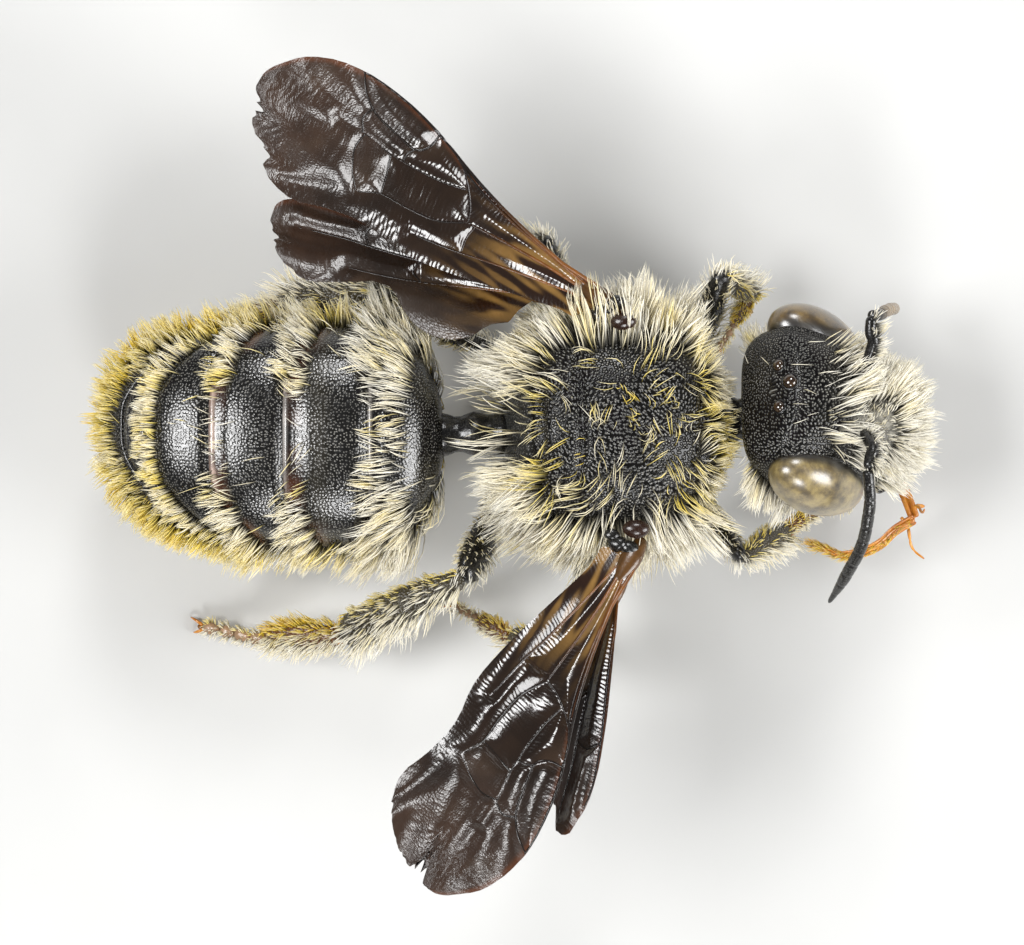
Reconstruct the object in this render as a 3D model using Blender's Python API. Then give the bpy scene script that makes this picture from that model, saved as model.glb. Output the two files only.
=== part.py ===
"""A female solitary bee of the leafcutter family, life size, standing on six feet with its wings half open.

The body is 15 mm long. Sizes are millimetres, turned into Blender's metres where a mesh is made. The
bee's own axes are +X to its left, +Y to its tail and +Z up, with the floor at zero and Y at zero over
the thorax. At the end everything moves together, so that the origin is on the floor below the middle
of the whole bee. Each solid reaches out to the tips of the hairs there, and thin cuts part it from
its neighbours.
"""

import math

import bmesh
import bpy
from mathutils import Matrix, Vector

MM = 0.001
LEFT, RIGHT = 1, -1
CUT = 0.08  # the thin cut between two pieces that touch
TUBE_SIDES = 10

# Trunk: centre and half sizes along the bee's axes, out to the hair tips
THORAX_CENTRE = Vector((0.0, -0.08, 3.2))
THORAX_HALF = Vector((2.62, 2.36, 1.85))
THORAX_SQUARENESS = 2.5  # the exponent of its outline: 2 is round, more is boxier
TEGULA_HALF = Vector((0.3, 0.36, 0.22))
TEGULAE = {LEFT: Vector((1.9, -0.42, 4.42)), RIGHT: Vector((-1.84, -0.66, 4.42))}

# Head: it looks forward and up, and leans so that the right eye stands higher
HEAD_CENTRE = Vector((0.17, -3.95, 2.95))
HEAD_PITCH, HEAD_ROLL = math.radians(-38), math.radians(24)
HEAD_HALF_WIDTH, HEAD_HALF_HEIGHT = 1.8, 1.62
HEAD_BACK, HEAD_FACE = 1.05, 1.52  # depth behind and in front of the head's centre
EYE_CENTRE, EYE_HALF = Vector((1.36, -0.12, 0.24)), Vector((0.6, 0.68, 1.14))
EYE_LEAN = math.radians(7)  # the eyes draw together towards the mouth
NECK_RADIUS, WAIST_RADIUS = 0.55, 0.5

# Abdomen: six rings that end at these places along Y
ABDOMEN_START, ABDOMEN_WIDEST, ABDOMEN_END = 2.78, 5.0, 9.12
RING_ENDS = (4.28, 5.81, 7.15, 8.34, 8.78)
ABDOMEN_HALF_WIDTH, ABDOMEN_RISE, ABDOMEN_DEPTH = 2.4, 1.4, 1.62
ABDOMEN_FRONT_POWER, ABDOMEN_REAR_POWER = 5.0, 3.0
ABDOMEN_LEAN, ABDOMEN_HEIGHT, ABDOMEN_DROOP = -0.17, 2.86, 0.55

# Wings: (along the span, towards the leading edge) of each corner, anticlockwise on a right wing
WING_HALF_THICKNESS = 0.25
FOREWING_OUTLINE = (
    (0.0, 0.2), (1.2, 0.38), (2.25, 0.54), (3.3, 0.78), (4.4, 1.12), (5.4, 1.3), (6.25, 1.29),
    (7.0, 1.06), (7.45, 0.66), (7.68, 0.16), (7.5, -0.28), (7.22, -0.72), (6.75, -1.12), (6.1, -1.33),
    (5.35, -1.12), (4.62, -0.98), (3.8, -1.05), (3.0, -0.93), (1.9, -0.64), (0.75, -0.35), (0.0, -0.22),
)  # fmt: skip
HINDWING_OUTLINE = (
    (0.0, 0.08), (0.9, 0.22), (2.0, 0.3), (3.1, 0.4), (4.3, 0.42), (5.2, 0.42), (5.8, 0.34),
    (6.1, 0.16), (6.1, -0.25), (5.9, -0.6), (5.6, -0.86), (5.25, -0.98), (4.6, -0.82), (3.7, -0.58),
    (3.35, -0.86), (2.95, -1.1), (2.45, -1.14), (2.05, -0.98), (1.7, -0.6), (0.9, -0.36), (0.0, -0.15),
)  # fmt: skip
# The right hind wing is folded along its length
FOLDED_OUTLINE = (
    (0.0, 0.1), (0.9, 0.24), (2.0, 0.32), (3.1, 0.36), (4.2, 0.36), (5.1, 0.28), (5.75, 0.08), (6.1, -0.16),
    (5.6, -0.4), (4.8, -0.52), (3.8, -0.58), (2.8, -0.56), (1.8, -0.46), (0.9, -0.32), (0.0, -0.16),
)  # fmt: skip
# side: (root, degrees from the tail's direction, degrees raised, degrees that the trailing edge is let down)
FOREWINGS = {
    LEFT: (Vector((2.0, -0.1, 4.3)), 33.0, 12.0, 0.0),
    RIGHT: (Vector((-2.1, -0.46, 4.3)), 59.0, 22.0, 4.0),
}
HINDWINGS = {
    LEFT: (Vector((1.86, 0.16, 3.55)), 19.5, 8.0, 0.0),
    RIGHT: (Vector((-1.7, -0.22, 3.45)), 82.7, 21.0, 10.0),
}

# Legs: the body end of the coxa, then the far end of coxa, femur, tibia, basitarsus and foot
LEGS = {
    "foreleg_left": ((0.5, -1.3, 2.0), (1.1, -1.8, 1.0), (2.72, -2.15, 2.5),
                     (2.42, -2.78, 1.2), (1.95, -2.5, 0.48), (1.45, -2.2, 0.08)),
    "foreleg_right": ((-0.5, -1.3, 2.0), (-1.1, -1.85, 1.0), (-2.36, -2.5, 2.55),
                      (-1.86, -3.42, 1.2), (-1.5, -4.0, 0.48), (-1.2, -4.5, 0.08)),
    "midleg_left": ((0.6, 0.0, 2.0), (1.25, 0.25, 0.98), (3.42, 0.92, 2.75),
                    (2.95, 2.3, 1.1), (2.72, 3.0, 0.45), (2.55, 3.5, 0.08)),
    "midleg_right": ((-0.6, 0.0, 2.0), (-1.25, 0.4, 0.98), (-4.15, 0.14, 2.55),
                     (-3.82, 1.6, 0.95), (-3.5, 2.2, 0.45), (-3.24, 2.65, 0.08)),
    "hindleg_left": ((0.6, 1.15, 2.0), (1.2, 1.75, 1.0), (2.4, 3.6, 2.85),
                     (2.26, 5.8, 1.2), (1.5, 7.2, 0.45), (0.95, 7.85, 0.1)),
    "hindleg_right": ((-0.6, 1.15, 2.0), (-1.2, 1.75, 1.0), (-2.72, 2.42, 2.85),
                      (-3.78, 4.68, 1.28), (-3.86, 6.28, 0.5), (-3.62, 7.2, 0.1)),
}  # fmt: skip
COXA_RADIUS = 0.42
# leg: radius, out to the hair tips, of femur, tibia and tarsus
LEG_RADII = {"foreleg": (0.38, 0.34, 0.25), "midleg": (0.34, 0.36, 0.25), "hindleg": (0.36, 0.44, 0.3)}

# Feelers and mouthparts: the line of each and its radius
SCAPES = {
    LEFT: ((0.92, -4.66, 3.3), (1.46, -4.84, 3.68), (1.92, -4.92, 3.84)),
    RIGHT: ((0.04, -4.66, 3.8), (-0.36, -4.8, 4.36), (-0.72, -4.84, 4.62)),
}
FLAGELLA = {
    LEFT: ((1.92, -4.92, 3.84), (2.08, -5.12, 3.3), (2.14, -5.28, 2.5), (2.16, -5.34, 1.6)),
    RIGHT: (
        (-0.72, -4.84, 4.62), (-1.5, -4.86, 4.42), (-2.14, -4.72, 4.0), (-2.76, -4.4, 3.42),
        (-3.16, -4.12, 2.95),
    ),
}  # fmt: skip
FEELER_RADIUS = 0.26
PROBOSCIS = ((-0.3, -4.7, 1.75), (-0.8, -5.3, 1.55), (-1.25, -5.6, 1.5), (-1.56, -5.6, 1.48))
TONGUE = (
    (-1.56, -5.6, 1.48), (-2.0, -5.36, 1.36), (-2.26, -4.9, 1.3), (-2.36, -4.35, 1.34), (-2.04, -3.9, 1.5),
)  # fmt: skip
PALPS = {
    "palp_upper": ((-1.25, -5.6, 1.5), (-1.42, -5.76, 1.9), (-1.64, -5.84, 2.08), (-1.34, -5.96, 2.24)),
    "palp_lower": ((-1.56, -5.6, 1.48), (-1.95, -5.62, 1.1), (-2.24, -5.6, 0.98), (-2.22, -5.96, 0.94)),
}
MANDIBLE_BASE, MANDIBLE_MIDDLE, MANDIBLE_TIP = (1.0, -0.2, -1.3), (0.92, -0.62, -1.78), (0.34, -0.92, -2.02)

COLOURS = {  # colour, roughness
    "shell": ((0.012, 0.011, 0.010), 0.35),
    "coat": ((0.62, 0.56, 0.42), 0.85),
    "golden_coat": ((0.72, 0.5, 0.08), 0.8),
    "eye": ((0.3, 0.27, 0.19), 0.2),
    "wing": ((0.07, 0.045, 0.03), 0.3),
    "amber": ((0.45, 0.17, 0.03), 0.4),
}


def clear_scene():
    for found in list(bpy.data.objects):
        bpy.data.objects.remove(found)


def new_collection(name):
    made = bpy.data.collections.new(name)
    bpy.context.scene.collection.children.link(made)
    return made


def material(name):
    found = bpy.data.materials.get(name)
    if found:
        return found
    colour, roughness = COLOURS[name]
    made = bpy.data.materials.new(name)
    made.use_nodes = True
    shader = made.node_tree.nodes["Principled BSDF"]
    shader.inputs["Base Color"].default_value = (*colour, 1.0)
    shader.inputs["Roughness"].default_value = roughness
    shader.inputs["Metallic"].default_value = 0.0
    return made


def place(name, mesh, finish=None):
    """A new object of the mesh: a part in its finish, or a cutter if it has none."""
    made = bpy.data.objects.new(name, mesh)
    if finish:
        mesh.materials.clear()
        mesh.materials.append(material(finish))
        mesh.shade_smooth()
        parts.objects.link(made)
        made.parent = middle
    else:
        made.hide_render = True
        made.display_type = "WIRE"
        cutters.objects.link(made)
        made.parent = middle
    return made


def ball(name, reshape, finish=None, segments=24, rows=14):
    """A closed round body. reshape takes a point of the unit sphere, with its poles on Y, to millimetres."""
    shell = bmesh.new()
    upright = Matrix.Rotation(math.radians(90), 4, "X")
    bmesh.ops.create_uvsphere(shell, u_segments=segments, v_segments=rows, radius=1.0, matrix=upright)
    for vertex in shell.verts:
        vertex.co = reshape(vertex.co) * MM
    bmesh.ops.recalc_face_normals(shell, faces=shell.faces)
    mesh = bpy.data.meshes.new(name)
    shell.to_mesh(mesh)
    shell.free()
    return place(name, mesh, finish)


def ellipsoid(centre, half, grow=0.0, turn=None):
    """The reshaping of a unit sphere to an ellipsoid."""
    turn = turn or Matrix.Identity(3)
    return lambda p: centre + turn @ Vector(p[i] * (half[i] + grow) for i in range(3))


def squared(p, power):
    """A point of the unit sphere moved out to a superellipsoid of that power."""
    return p / sum(abs(c) ** power for c in p) ** (1 / power)


def tube(name, points, radii, finish=None, grow=0.0, round_ends=0.62):
    """A limb along the points. Its radius narrows to round_ends of itself at both ends."""
    line = bpy.data.curves.new(name, "CURVE")
    line.dimensions = "3D"
    line.bevel_depth = MM
    line.bevel_resolution = TUBE_SIDES // 2 - 2
    line.use_fill_caps = True
    stations = rounded_stations([Vector(p) for p in points], radii, grow, round_ends)
    spline = line.splines.new("POLY")
    spline.points.add(len(stations) - 1)
    for point, (place_of, radius) in zip(spline.points, stations):
        point.co = (*(place_of * MM), 1.0)
        point.radius = radius
    drawn = bpy.data.objects.new(name, line)
    bpy.context.scene.collection.objects.link(drawn)
    return made_mesh(drawn, name, finish)


def rounded_stations(points, radii, grow, round_ends):
    """(point, radius) along the line, with the ends narrowed over one radius and let out by grow."""
    first, last = radii[0], radii[-1]
    start = (points[1] - points[0]).normalized()
    finish = (points[-1] - points[-2]).normalized()
    inner = [(p, r + grow) for p, r in zip(points[1:-1], radii[1:-1])]
    return [
        (points[0] - start * grow, first * round_ends + grow),
        (points[0] + start * first * 0.45, first + grow),
        *inner,
        (points[-1] - finish * last * 0.45, last + grow),
        (points[-1] + finish * grow, last * round_ends + grow),
    ]


def made_mesh(drawn, name, finish):
    """A curve object turned into a closed mesh object, because a Boolean takes no curve."""
    bpy.context.view_layer.update()
    graph = bpy.context.evaluated_depsgraph_get()
    mesh = bpy.data.meshes.new_from_object(drawn.evaluated_get(graph))
    shell = bmesh.new()
    shell.from_mesh(mesh)
    bmesh.ops.remove_doubles(shell, verts=shell.verts, dist=1e-7)
    bmesh.ops.recalc_face_normals(shell, faces=shell.faces)
    shell.to_mesh(mesh)
    shell.free()
    matrix = drawn.matrix_world.copy()
    line = drawn.data
    bpy.data.objects.remove(drawn)
    bpy.data.curves.remove(line)
    made = place(name, mesh, finish)
    made.matrix_world = matrix
    return made


def cut(part, *tools):
    for tool in tools:
        modifier = part.modifiers.new("cut by " + tool.name, "BOOLEAN")
        modifier.operation = "DIFFERENCE"
        modifier.solver = "EXACT"
        modifier.object = tool
    return part


def side_name(side):
    return "left" if side == LEFT else "right"


# Head -------------------------------------------------------------------------


def head_turn():
    return Matrix.Rotation(HEAD_ROLL, 3, "Y") @ Matrix.Rotation(HEAD_PITCH, 3, "X")


def on_head(point):
    """A point of the head's own frame, where -Y is the face and +Z the crown, in the bee's frame."""
    return HEAD_CENTRE + head_turn() @ Vector(point)


def head_shape(grow=0.0):
    """The head capsule: broad and flat behind, domed in front and drawn in towards the mouth."""

    def reshape(p):
        p = squared(p, 2.5)
        narrowing = 1 - 0.16 * max(0.0, -p.z) ** 2
        depth = HEAD_BACK if p.y > 0 else HEAD_FACE
        local = Vector((
            p.x * (HEAD_HALF_WIDTH * narrowing + grow),
            p.y * (depth + grow),
            p.z * (HEAD_HALF_HEIGHT + grow),
        ))  # fmt: skip
        return on_head(local)

    return reshape


def eye_shape(side, grow=0.0):
    centre = on_head((EYE_CENTRE.x * side, EYE_CENTRE.y, EYE_CENTRE.z))
    turn = head_turn() @ Matrix.Rotation(side * EYE_LEAN, 3, "Y")
    return ellipsoid(centre, EYE_HALF, grow, turn)


def mandible_line(side):
    return [on_head((x * side, y, z)) for x, y, z in (MANDIBLE_BASE, MANDIBLE_MIDDLE, MANDIBLE_TIP)]


def make_head():
    head = ball("head", head_shape(), "coat", segments=22, rows=13)
    head_tool = ball("head_tool", head_shape(CUT), segments=22, rows=13)
    for side in (LEFT, RIGHT):
        named = side_name(side)
        ball("eye_" + named, eye_shape(side), "eye", segments=16, rows=10)
        cut(head, ball("eye_tool_" + named, eye_shape(side, CUT), segments=16, rows=10))
        make_feeler(side, head_tool)
        mandible = tube("mandible_" + named, mandible_line(side), (0.34, 0.3, 0.26), "shell")
        cut(mandible, head_tool)
    make_mouthparts(head_tool)
    return head, head_tool


def make_feeler(side, head_tool):
    named = side_name(side)
    scape_radii = [FEELER_RADIUS] * len(SCAPES[side])
    scape = tube("scape_" + named, SCAPES[side], scape_radii, "shell")
    scape_tool = tube("scape_tool_" + named, SCAPES[side], scape_radii, grow=CUT)
    cut(scape, head_tool)
    flagellum = tube("flagellum_" + named, FLAGELLA[side], [FEELER_RADIUS] * len(FLAGELLA[side]), "shell")
    cut(flagellum, scape_tool, head_tool)


def make_mouthparts(head_tool):
    base_radii = [0.34, 0.32, 0.3, 0.28]
    base = tube("proboscis", PROBOSCIS, base_radii, "amber")
    base_tool = tube("proboscis_tool", PROBOSCIS, base_radii, grow=CUT)
    cut(base, head_tool)
    tongue = tube("tongue", TONGUE, [0.25] * len(TONGUE), "amber")
    tongue_tool = tube("tongue_tool", TONGUE, [0.25] * len(TONGUE), grow=CUT)
    cut(tongue, base_tool)
    for name, line in PALPS.items():
        palp = tube(name, line, [0.25] * len(line), "amber")
        cut(palp, base_tool, tongue_tool)


# Trunk ------------------------------------------------------------------------


def thorax_shape(grow=0.0):
    """The thorax in its coat: boxy from above, domed on top, with its shoulders drawn in to the neck."""

    def reshape(p):
        p = squared(p, THORAX_SQUARENESS)
        shoulders = 1 - 0.2 * max(0.0, -p.y) ** 2 - 0.1 * max(0.0, p.y) ** 2
        return THORAX_CENTRE + Vector((
            p.x * (THORAX_HALF.x * shoulders + grow),
            p.y * (THORAX_HALF.y + grow),
            p.z * (THORAX_HALF.z + grow),
        ))  # fmt: skip

    return reshape


def make_thorax():
    thorax = ball("thorax", thorax_shape(), "coat", segments=22, rows=13)
    tool = ball("thorax_tool", thorax_shape(CUT), segments=22, rows=13)
    for side in (LEFT, RIGHT):
        named = side_name(side)
        ball("tegula_" + named, ellipsoid(TEGULAE[side], TEGULA_HALF), "shell", segments=10, rows=7)
        grown = ball("tegula_tool_" + named, ellipsoid(TEGULAE[side], TEGULA_HALF, CUT), segments=10, rows=7)
        cut(thorax, grown)
        make_wing_pair(side, tool, grown)
    return thorax, tool


def make_link(name, start, end, radius, *neighbours):
    """A short stalk that joins two parts of the trunk. It runs into both, which are cut back round it."""
    tube(name, (start, end), (radius, radius), "shell", round_ends=0.9)
    tool = tube(name + "_tool", (start, end), (radius, radius), grow=CUT, round_ends=0.9)
    for neighbour in neighbours:
        cut(neighbour, tool)
    return tool


# Abdomen ----------------------------------------------------------------------


def abdomen_line(y):
    """The middle of the abdomen at y: it leans a little to the right and droops to the tail."""
    share = (y - ABDOMEN_START) / (ABDOMEN_END - ABDOMEN_START)
    return Vector((ABDOMEN_LEAN + 0.28 * share**4, y, ABDOMEN_HEIGHT - ABDOMEN_DROOP * share**1.6))


def abdomen_swell(y):
    """How full the abdomen is at y, from 0 at its ends to 1 where it is widest."""
    if y < ABDOMEN_WIDEST:
        share = (ABDOMEN_WIDEST - y) / (ABDOMEN_WIDEST - ABDOMEN_START)
        power = ABDOMEN_FRONT_POWER
    else:
        share = (y - ABDOMEN_WIDEST) / (ABDOMEN_END - ABDOMEN_WIDEST)
        power = ABDOMEN_REAR_POWER
    return math.sqrt(max(0.0, 1 - min(1.0, share) ** power))


def ring_shape(start, end, is_last):
    """One ring of the abdomen between two places along Y, a flat-ended slice of the whole."""

    def reshape(p):
        # The sphere's rows become rings: those near its poles close the flat ends of the slice.
        turned_in = 0.62
        along = max(-1.0, min(1.0, p.y / turned_in))
        if is_last and p.y > 0:
            along = p.y
            fill = 1.0
        else:
            fill = min(1.0, math.sqrt(max(0.0, 1 - p.y**2)) / math.sqrt(1 - turned_in**2))
        y = start + (end - start) * (along + 1) / 2
        swell = abdomen_swell(y) * fill
        flat = math.hypot(p.x, p.z) or 1.0
        height = ABDOMEN_RISE if p.z > 0 else ABDOMEN_DEPTH
        offset = Vector((p.x / flat * ABDOMEN_HALF_WIDTH, 0, p.z / flat * height)) * swell
        return abdomen_line(y) + (offset if abs(p.y) < 0.999 else Vector())

    return reshape


def abdomen_shape(grow):
    """The whole abdomen let out by grow."""

    def reshape(p):
        y = ABDOMEN_START + (ABDOMEN_END - ABDOMEN_START) * (p.y + 1) / 2
        flat = math.hypot(p.x, p.z) or 1.0
        height = ABDOMEN_RISE if p.z > 0 else ABDOMEN_DEPTH
        out = Vector((p.x / flat * (ABDOMEN_HALF_WIDTH + grow), 0, p.z / flat * (height + grow)))
        return abdomen_line(y) + out * abdomen_swell(y) + Vector((0, p.y * grow, 0))

    return reshape


def make_abdomen(waist_tool):
    starts = (ABDOMEN_START, *RING_ENDS)
    ends = (*RING_ENDS, ABDOMEN_END)
    for number, (start, end) in enumerate(zip(starts, ends), 1):
        is_last = number == len(ends)
        finish = "golden_coat" if number > 4 else "shell"
        shape = ring_shape(start, end if is_last else end - CUT, is_last)
        ring = ball(f"abdomen_{number}", shape, finish, segments=22, rows=10)
        if number == 1:
            cut(ring, waist_tool)
    return ball("abdomen_tool", abdomen_shape(CUT), segments=24, rows=24)


# Wings ------------------------------------------------------------------------


def wing_matrix(side, root, from_tail, raised, let_down):
    """A wing's own axes in the bee: X along its span, Y to its leading edge."""
    turn, rise = math.radians(from_tail), math.radians(raised)
    span = Vector((side * math.sin(turn) * math.cos(rise), math.cos(turn) * math.cos(rise), math.sin(rise)))
    leading = Vector((side * math.cos(turn), -math.sin(turn), 0))
    normal = span.cross(leading)
    matrix = Matrix((span, leading, normal)).transposed().to_4x4()
    matrix = matrix @ Matrix.Rotation(-side * math.radians(let_down), 4, "X")
    matrix.translation = root * MM
    return matrix


def wing(name, outline, matrix):
    """A flat plate in the wing's outline, drawn as a smooth curve through its corners."""
    line = bpy.data.curves.new(name, "CURVE")
    line.dimensions = "2D"
    line.fill_mode = "BOTH"
    line.extrude = WING_HALF_THICKNESS * MM
    line.resolution_u = 3
    spline = line.splines.new("BEZIER")
    spline.bezier_points.add(len(outline) - 1)
    for point, (along, forward) in zip(spline.bezier_points, outline):
        point.co = (along * MM, forward * MM, 0)
        point.handle_left_type = point.handle_right_type = "AUTO"
    spline.use_cyclic_u = True
    drawn = bpy.data.objects.new(name, line)
    bpy.context.scene.collection.objects.link(drawn)
    drawn.matrix_world = matrix
    return made_mesh(drawn, name, "wing")


def make_wing_pair(side, *tools):
    named = side_name(side)
    hindwing = HINDWING_OUTLINE if side == LEFT else FOLDED_OUTLINE
    for name, outline, placing in (
        ("forewing_", FOREWING_OUTLINE, FOREWINGS[side]),
        ("hindwing_", hindwing, HINDWINGS[side]),
    ):
        cut(wing(name + named, outline, wing_matrix(side, *placing)), *tools)


# Legs -------------------------------------------------------------------------


def make_leg(name, joints, *tools):
    """Coxa, femur, tibia and tarsus. Each starts inside the one before it and is cut back from it."""
    body_end, coxa_end, knee, ankle, heel, foot = joints
    femur_radius, tibia_radius, tarsus_radius = LEG_RADII[name.split("_")[0]]
    pieces = (
        ("coxa", COXA_RADIUS, (body_end, coxa_end), (1.0, 0.9)),
        ("femur", femur_radius, (coxa_end, halfway(coxa_end, knee), knee), (0.8, 1.0, 0.8)),
        ("tibia", tibia_radius, (knee, halfway(knee, ankle), ankle), (0.8, 1.0, 0.95)),
        ("tarsus", tarsus_radius, (ankle, halfway(ankle, heel), heel, foot), (1.1, 1.2, 1.0, 1.0)),
    )
    before = list(tools)
    for piece, thickest, line, shares in pieces:
        radii = [thickest * share for share in shares]
        made = tube(f"{name}_{piece}", line, radii, "golden_coat" if piece == "tarsus" else "coat")
        cut(made, *before)
        before = [*tools, tube(f"{name}_{piece}_tool", line, radii, grow=CUT)]
    cut(made, floor)


def halfway(a, b):
    return (Vector(a) + Vector(b)) / 2


def floor_block():
    """What lies under the floor: cutting with it gives each foot a small flat at one level."""
    shell = bmesh.new()
    bmesh.ops.create_cube(shell, size=40 * MM, matrix=Matrix.Translation((0, 0, -20 * MM)))
    mesh = bpy.data.meshes.new("floor")
    shell.to_mesh(mesh)
    shell.free()
    return place("floor", mesh)


def centre_on_floor():
    """Moves the whole bee so that the origin is on the floor below the middle of its box."""
    bpy.context.view_layer.update()
    graph = bpy.context.evaluated_depsgraph_get()
    corners = []
    for part in parts.objects:
        seen = part.evaluated_get(graph)
        corners += [seen.matrix_world @ Vector(c) for c in seen.bound_box]
    for axis in (0, 1):
        values = [c[axis] for c in corners]
        middle.location[axis] = -(min(values) + max(values)) / 2


clear_scene()
parts = new_collection("bee")
cutters = new_collection("cutters")
middle = bpy.data.objects.new("middle", None)
bpy.context.scene.collection.objects.link(middle)
floor = floor_block()
head, head_tool = make_head()
thorax, thorax_tool = make_thorax()
cut(thorax, head_tool)
make_link("neck", (0.1, -1.9, 3.0), (0.15, -3.2, 2.95), NECK_RADIUS, head, thorax)
waist_tool = make_link("waist", (-0.1, 1.7, 2.75), (-0.15, 3.4, 2.7), WAIST_RADIUS, thorax)
abdomen_tool = make_abdomen(waist_tool)
for leg, joints in LEGS.items():
    make_leg(leg, joints, thorax_tool, abdomen_tool)
centre_on_floor()
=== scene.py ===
"""Looks of the leafcutter bee: skins, wings, eyes and a coat of solid hairs, fitted to the CAD model.

Shapes are worked out in millimetres on the bee's own axes (+X to its left, +Y to its tail, +Z up, the floor
at zero), which differ from the frame's only by a shift along the floor. Limbs take their middle lines, the
wings their outlines and the body its sizes from the CAD nodes that they replace. A tint is a colour whose
last value says how deep the pits or pimples of the finish are.
"""

import math
from collections import namedtuple

import bpy
import numpy as np
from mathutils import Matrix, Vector


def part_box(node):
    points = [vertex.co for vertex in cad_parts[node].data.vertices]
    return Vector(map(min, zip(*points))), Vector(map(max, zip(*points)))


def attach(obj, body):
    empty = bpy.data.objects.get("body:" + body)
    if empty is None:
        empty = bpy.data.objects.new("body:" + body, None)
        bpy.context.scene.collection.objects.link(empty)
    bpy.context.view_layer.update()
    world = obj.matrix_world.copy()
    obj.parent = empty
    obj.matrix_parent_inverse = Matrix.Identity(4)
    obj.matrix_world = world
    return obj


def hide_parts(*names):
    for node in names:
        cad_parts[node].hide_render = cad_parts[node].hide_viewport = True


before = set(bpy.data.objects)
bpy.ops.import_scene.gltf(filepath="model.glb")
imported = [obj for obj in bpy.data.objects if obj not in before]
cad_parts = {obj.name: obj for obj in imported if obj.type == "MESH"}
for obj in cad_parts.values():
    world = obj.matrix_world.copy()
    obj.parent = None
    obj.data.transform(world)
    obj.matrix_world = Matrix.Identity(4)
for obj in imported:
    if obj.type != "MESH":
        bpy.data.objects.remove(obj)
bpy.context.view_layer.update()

MM = 0.001
SIDES = {"left": 1, "right": -1}
WAIST_MIDDLE = (-0.125, 2.55)  # the waist on the bee's own axes, which gives the shift to the frame's
random = np.random.default_rng(7)

# Small mathematics -----------------------------------------------------

CURVE_STEPS = 12  # between two points of a line, before it is measured


def unit(vectors):
    return vectors / np.maximum(np.linalg.norm(vectors, axis=-1, keepdims=True), 1e-12)


def vec(*values):
    return np.array(values, float)


def ramp(start, end, value):
    """0 at start, 1 at end and a smooth rise between."""
    share = np.clip((value - start) / (end - start), 0, 1)
    return share * share * (3 - 2 * share)


def bump(centre, width, value):
    """1 at the centre, falling smoothly to nothing about twice the width away."""
    return np.exp(-(((value - centre) / width) ** 2))


def mix(a, b, share):
    """Between two numbers, or two fields of them."""
    return a + (b - a) * share


def blend(a, b, share):
    """Between two vectors or colours, or two fields of them."""
    return a + (b - a) * np.asarray(share, float)[..., None]


def painted(tint, *coats):
    """A tint with others laid over it, each by its share."""
    for colour, share in coats:
        tint = blend(tint, np.asarray(colour, float), share)
    return tint


def wobble(points, size, seed=0, waves=9):
    """Smooth noise of about -1 to 1 over points, with features of that size."""
    chosen = np.random.default_rng(seed)
    turns = unit(chosen.normal(size=(waves, points.shape[-1]))) * chosen.uniform(0.6, 1.5, (waves, 1))
    phases = chosen.uniform(0, math.tau, waves)
    return np.sin(points @ turns.T * (math.pi / size) + phases).sum(-1) / math.sqrt(waves * 2.0)


def looked_up(wanted, known, line):
    """A line's points at the wanted places, from the places where they are known."""
    return np.stack([np.interp(wanted, known, values) for values in line.T], 1)


def smooth_line(points, count):
    """A Catmull-Rom curve through the points, at evenly spread places."""
    points = np.asarray(points, float)
    padded = np.vstack([2 * points[0] - points[1], points, 2 * points[-1] - points[-2]])
    places = np.linspace(0, len(points) - 1, CURVE_STEPS * len(points))
    first = np.minimum(places.astype(int), len(points) - 2)
    t = (places - first)[:, None]
    a, b, c, d = (padded[first + k] for k in range(4))
    line = 0.5 * (2 * b + (c - a) * t + (2 * a - 5 * b + 4 * c - d) * t**2 + (3 * b - a - 3 * c + d) * t**3)
    travelled = np.append(0, np.cumsum(np.linalg.norm(np.diff(line, axis=0), axis=1)))
    return looked_up(np.linspace(0, travelled[-1], count), travelled, line)


def meet(first, second):
    """Brings the end of one line and the start of the next to the point midway."""
    first[-1] = second[0] = (first[-1] + second[0]) / 2


# Reading the CAD model -------------------------------------------------

SAMPLES = 6000  # points spread over a CAD node
SLAB_END = 0.42  # from the middle of a limb's last slab to its end, in steps between slabs


def frame_shift():
    """From the bee's own axes to the frame's."""
    middle = sum(np.array(corner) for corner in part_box("waist")) / 2 / MM
    return vec(middle[0] - WAIST_MIDDLE[0], middle[1] - WAIST_MIDDLE[1], 0)


SHIFT = frame_shift()


def node_triangles(node):
    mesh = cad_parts[node].data
    mesh.calc_loop_triangles()
    corners = np.empty(len(mesh.loop_triangles) * 3, np.int32)
    mesh.loop_triangles.foreach_get("vertices", corners)
    points = np.empty(len(mesh.vertices) * 3)
    mesh.vertices.foreach_get("co", points)
    return (points.reshape(-1, 3) / MM - SHIFT)[corners.reshape(-1, 3)]


def node_box(node):
    """(middle, half size) of a node on the bee's own axes."""
    low, high = (np.array(corner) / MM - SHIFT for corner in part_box(node))
    return (low + high) / 2, (high - low) / 2


def surface_samples(node):
    """Points spread evenly over a node's surface, the same ones every time."""
    chosen = np.random.default_rng(3)
    triangles = node_triangles(node)
    edges = triangles[:, 1:] - triangles[:, :1]
    areas = np.linalg.norm(np.cross(edges[:, 0], edges[:, 1]), axis=1)
    picked = chosen.choice(len(triangles), SAMPLES, p=areas / areas.sum())
    share = chosen.random((SAMPLES, 2))
    share = np.where(share.sum(1, keepdims=True) > 1, 1 - share, share)
    return triangles[picked, 0] + (edges[picked] * share[..., None]).sum(1)


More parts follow.
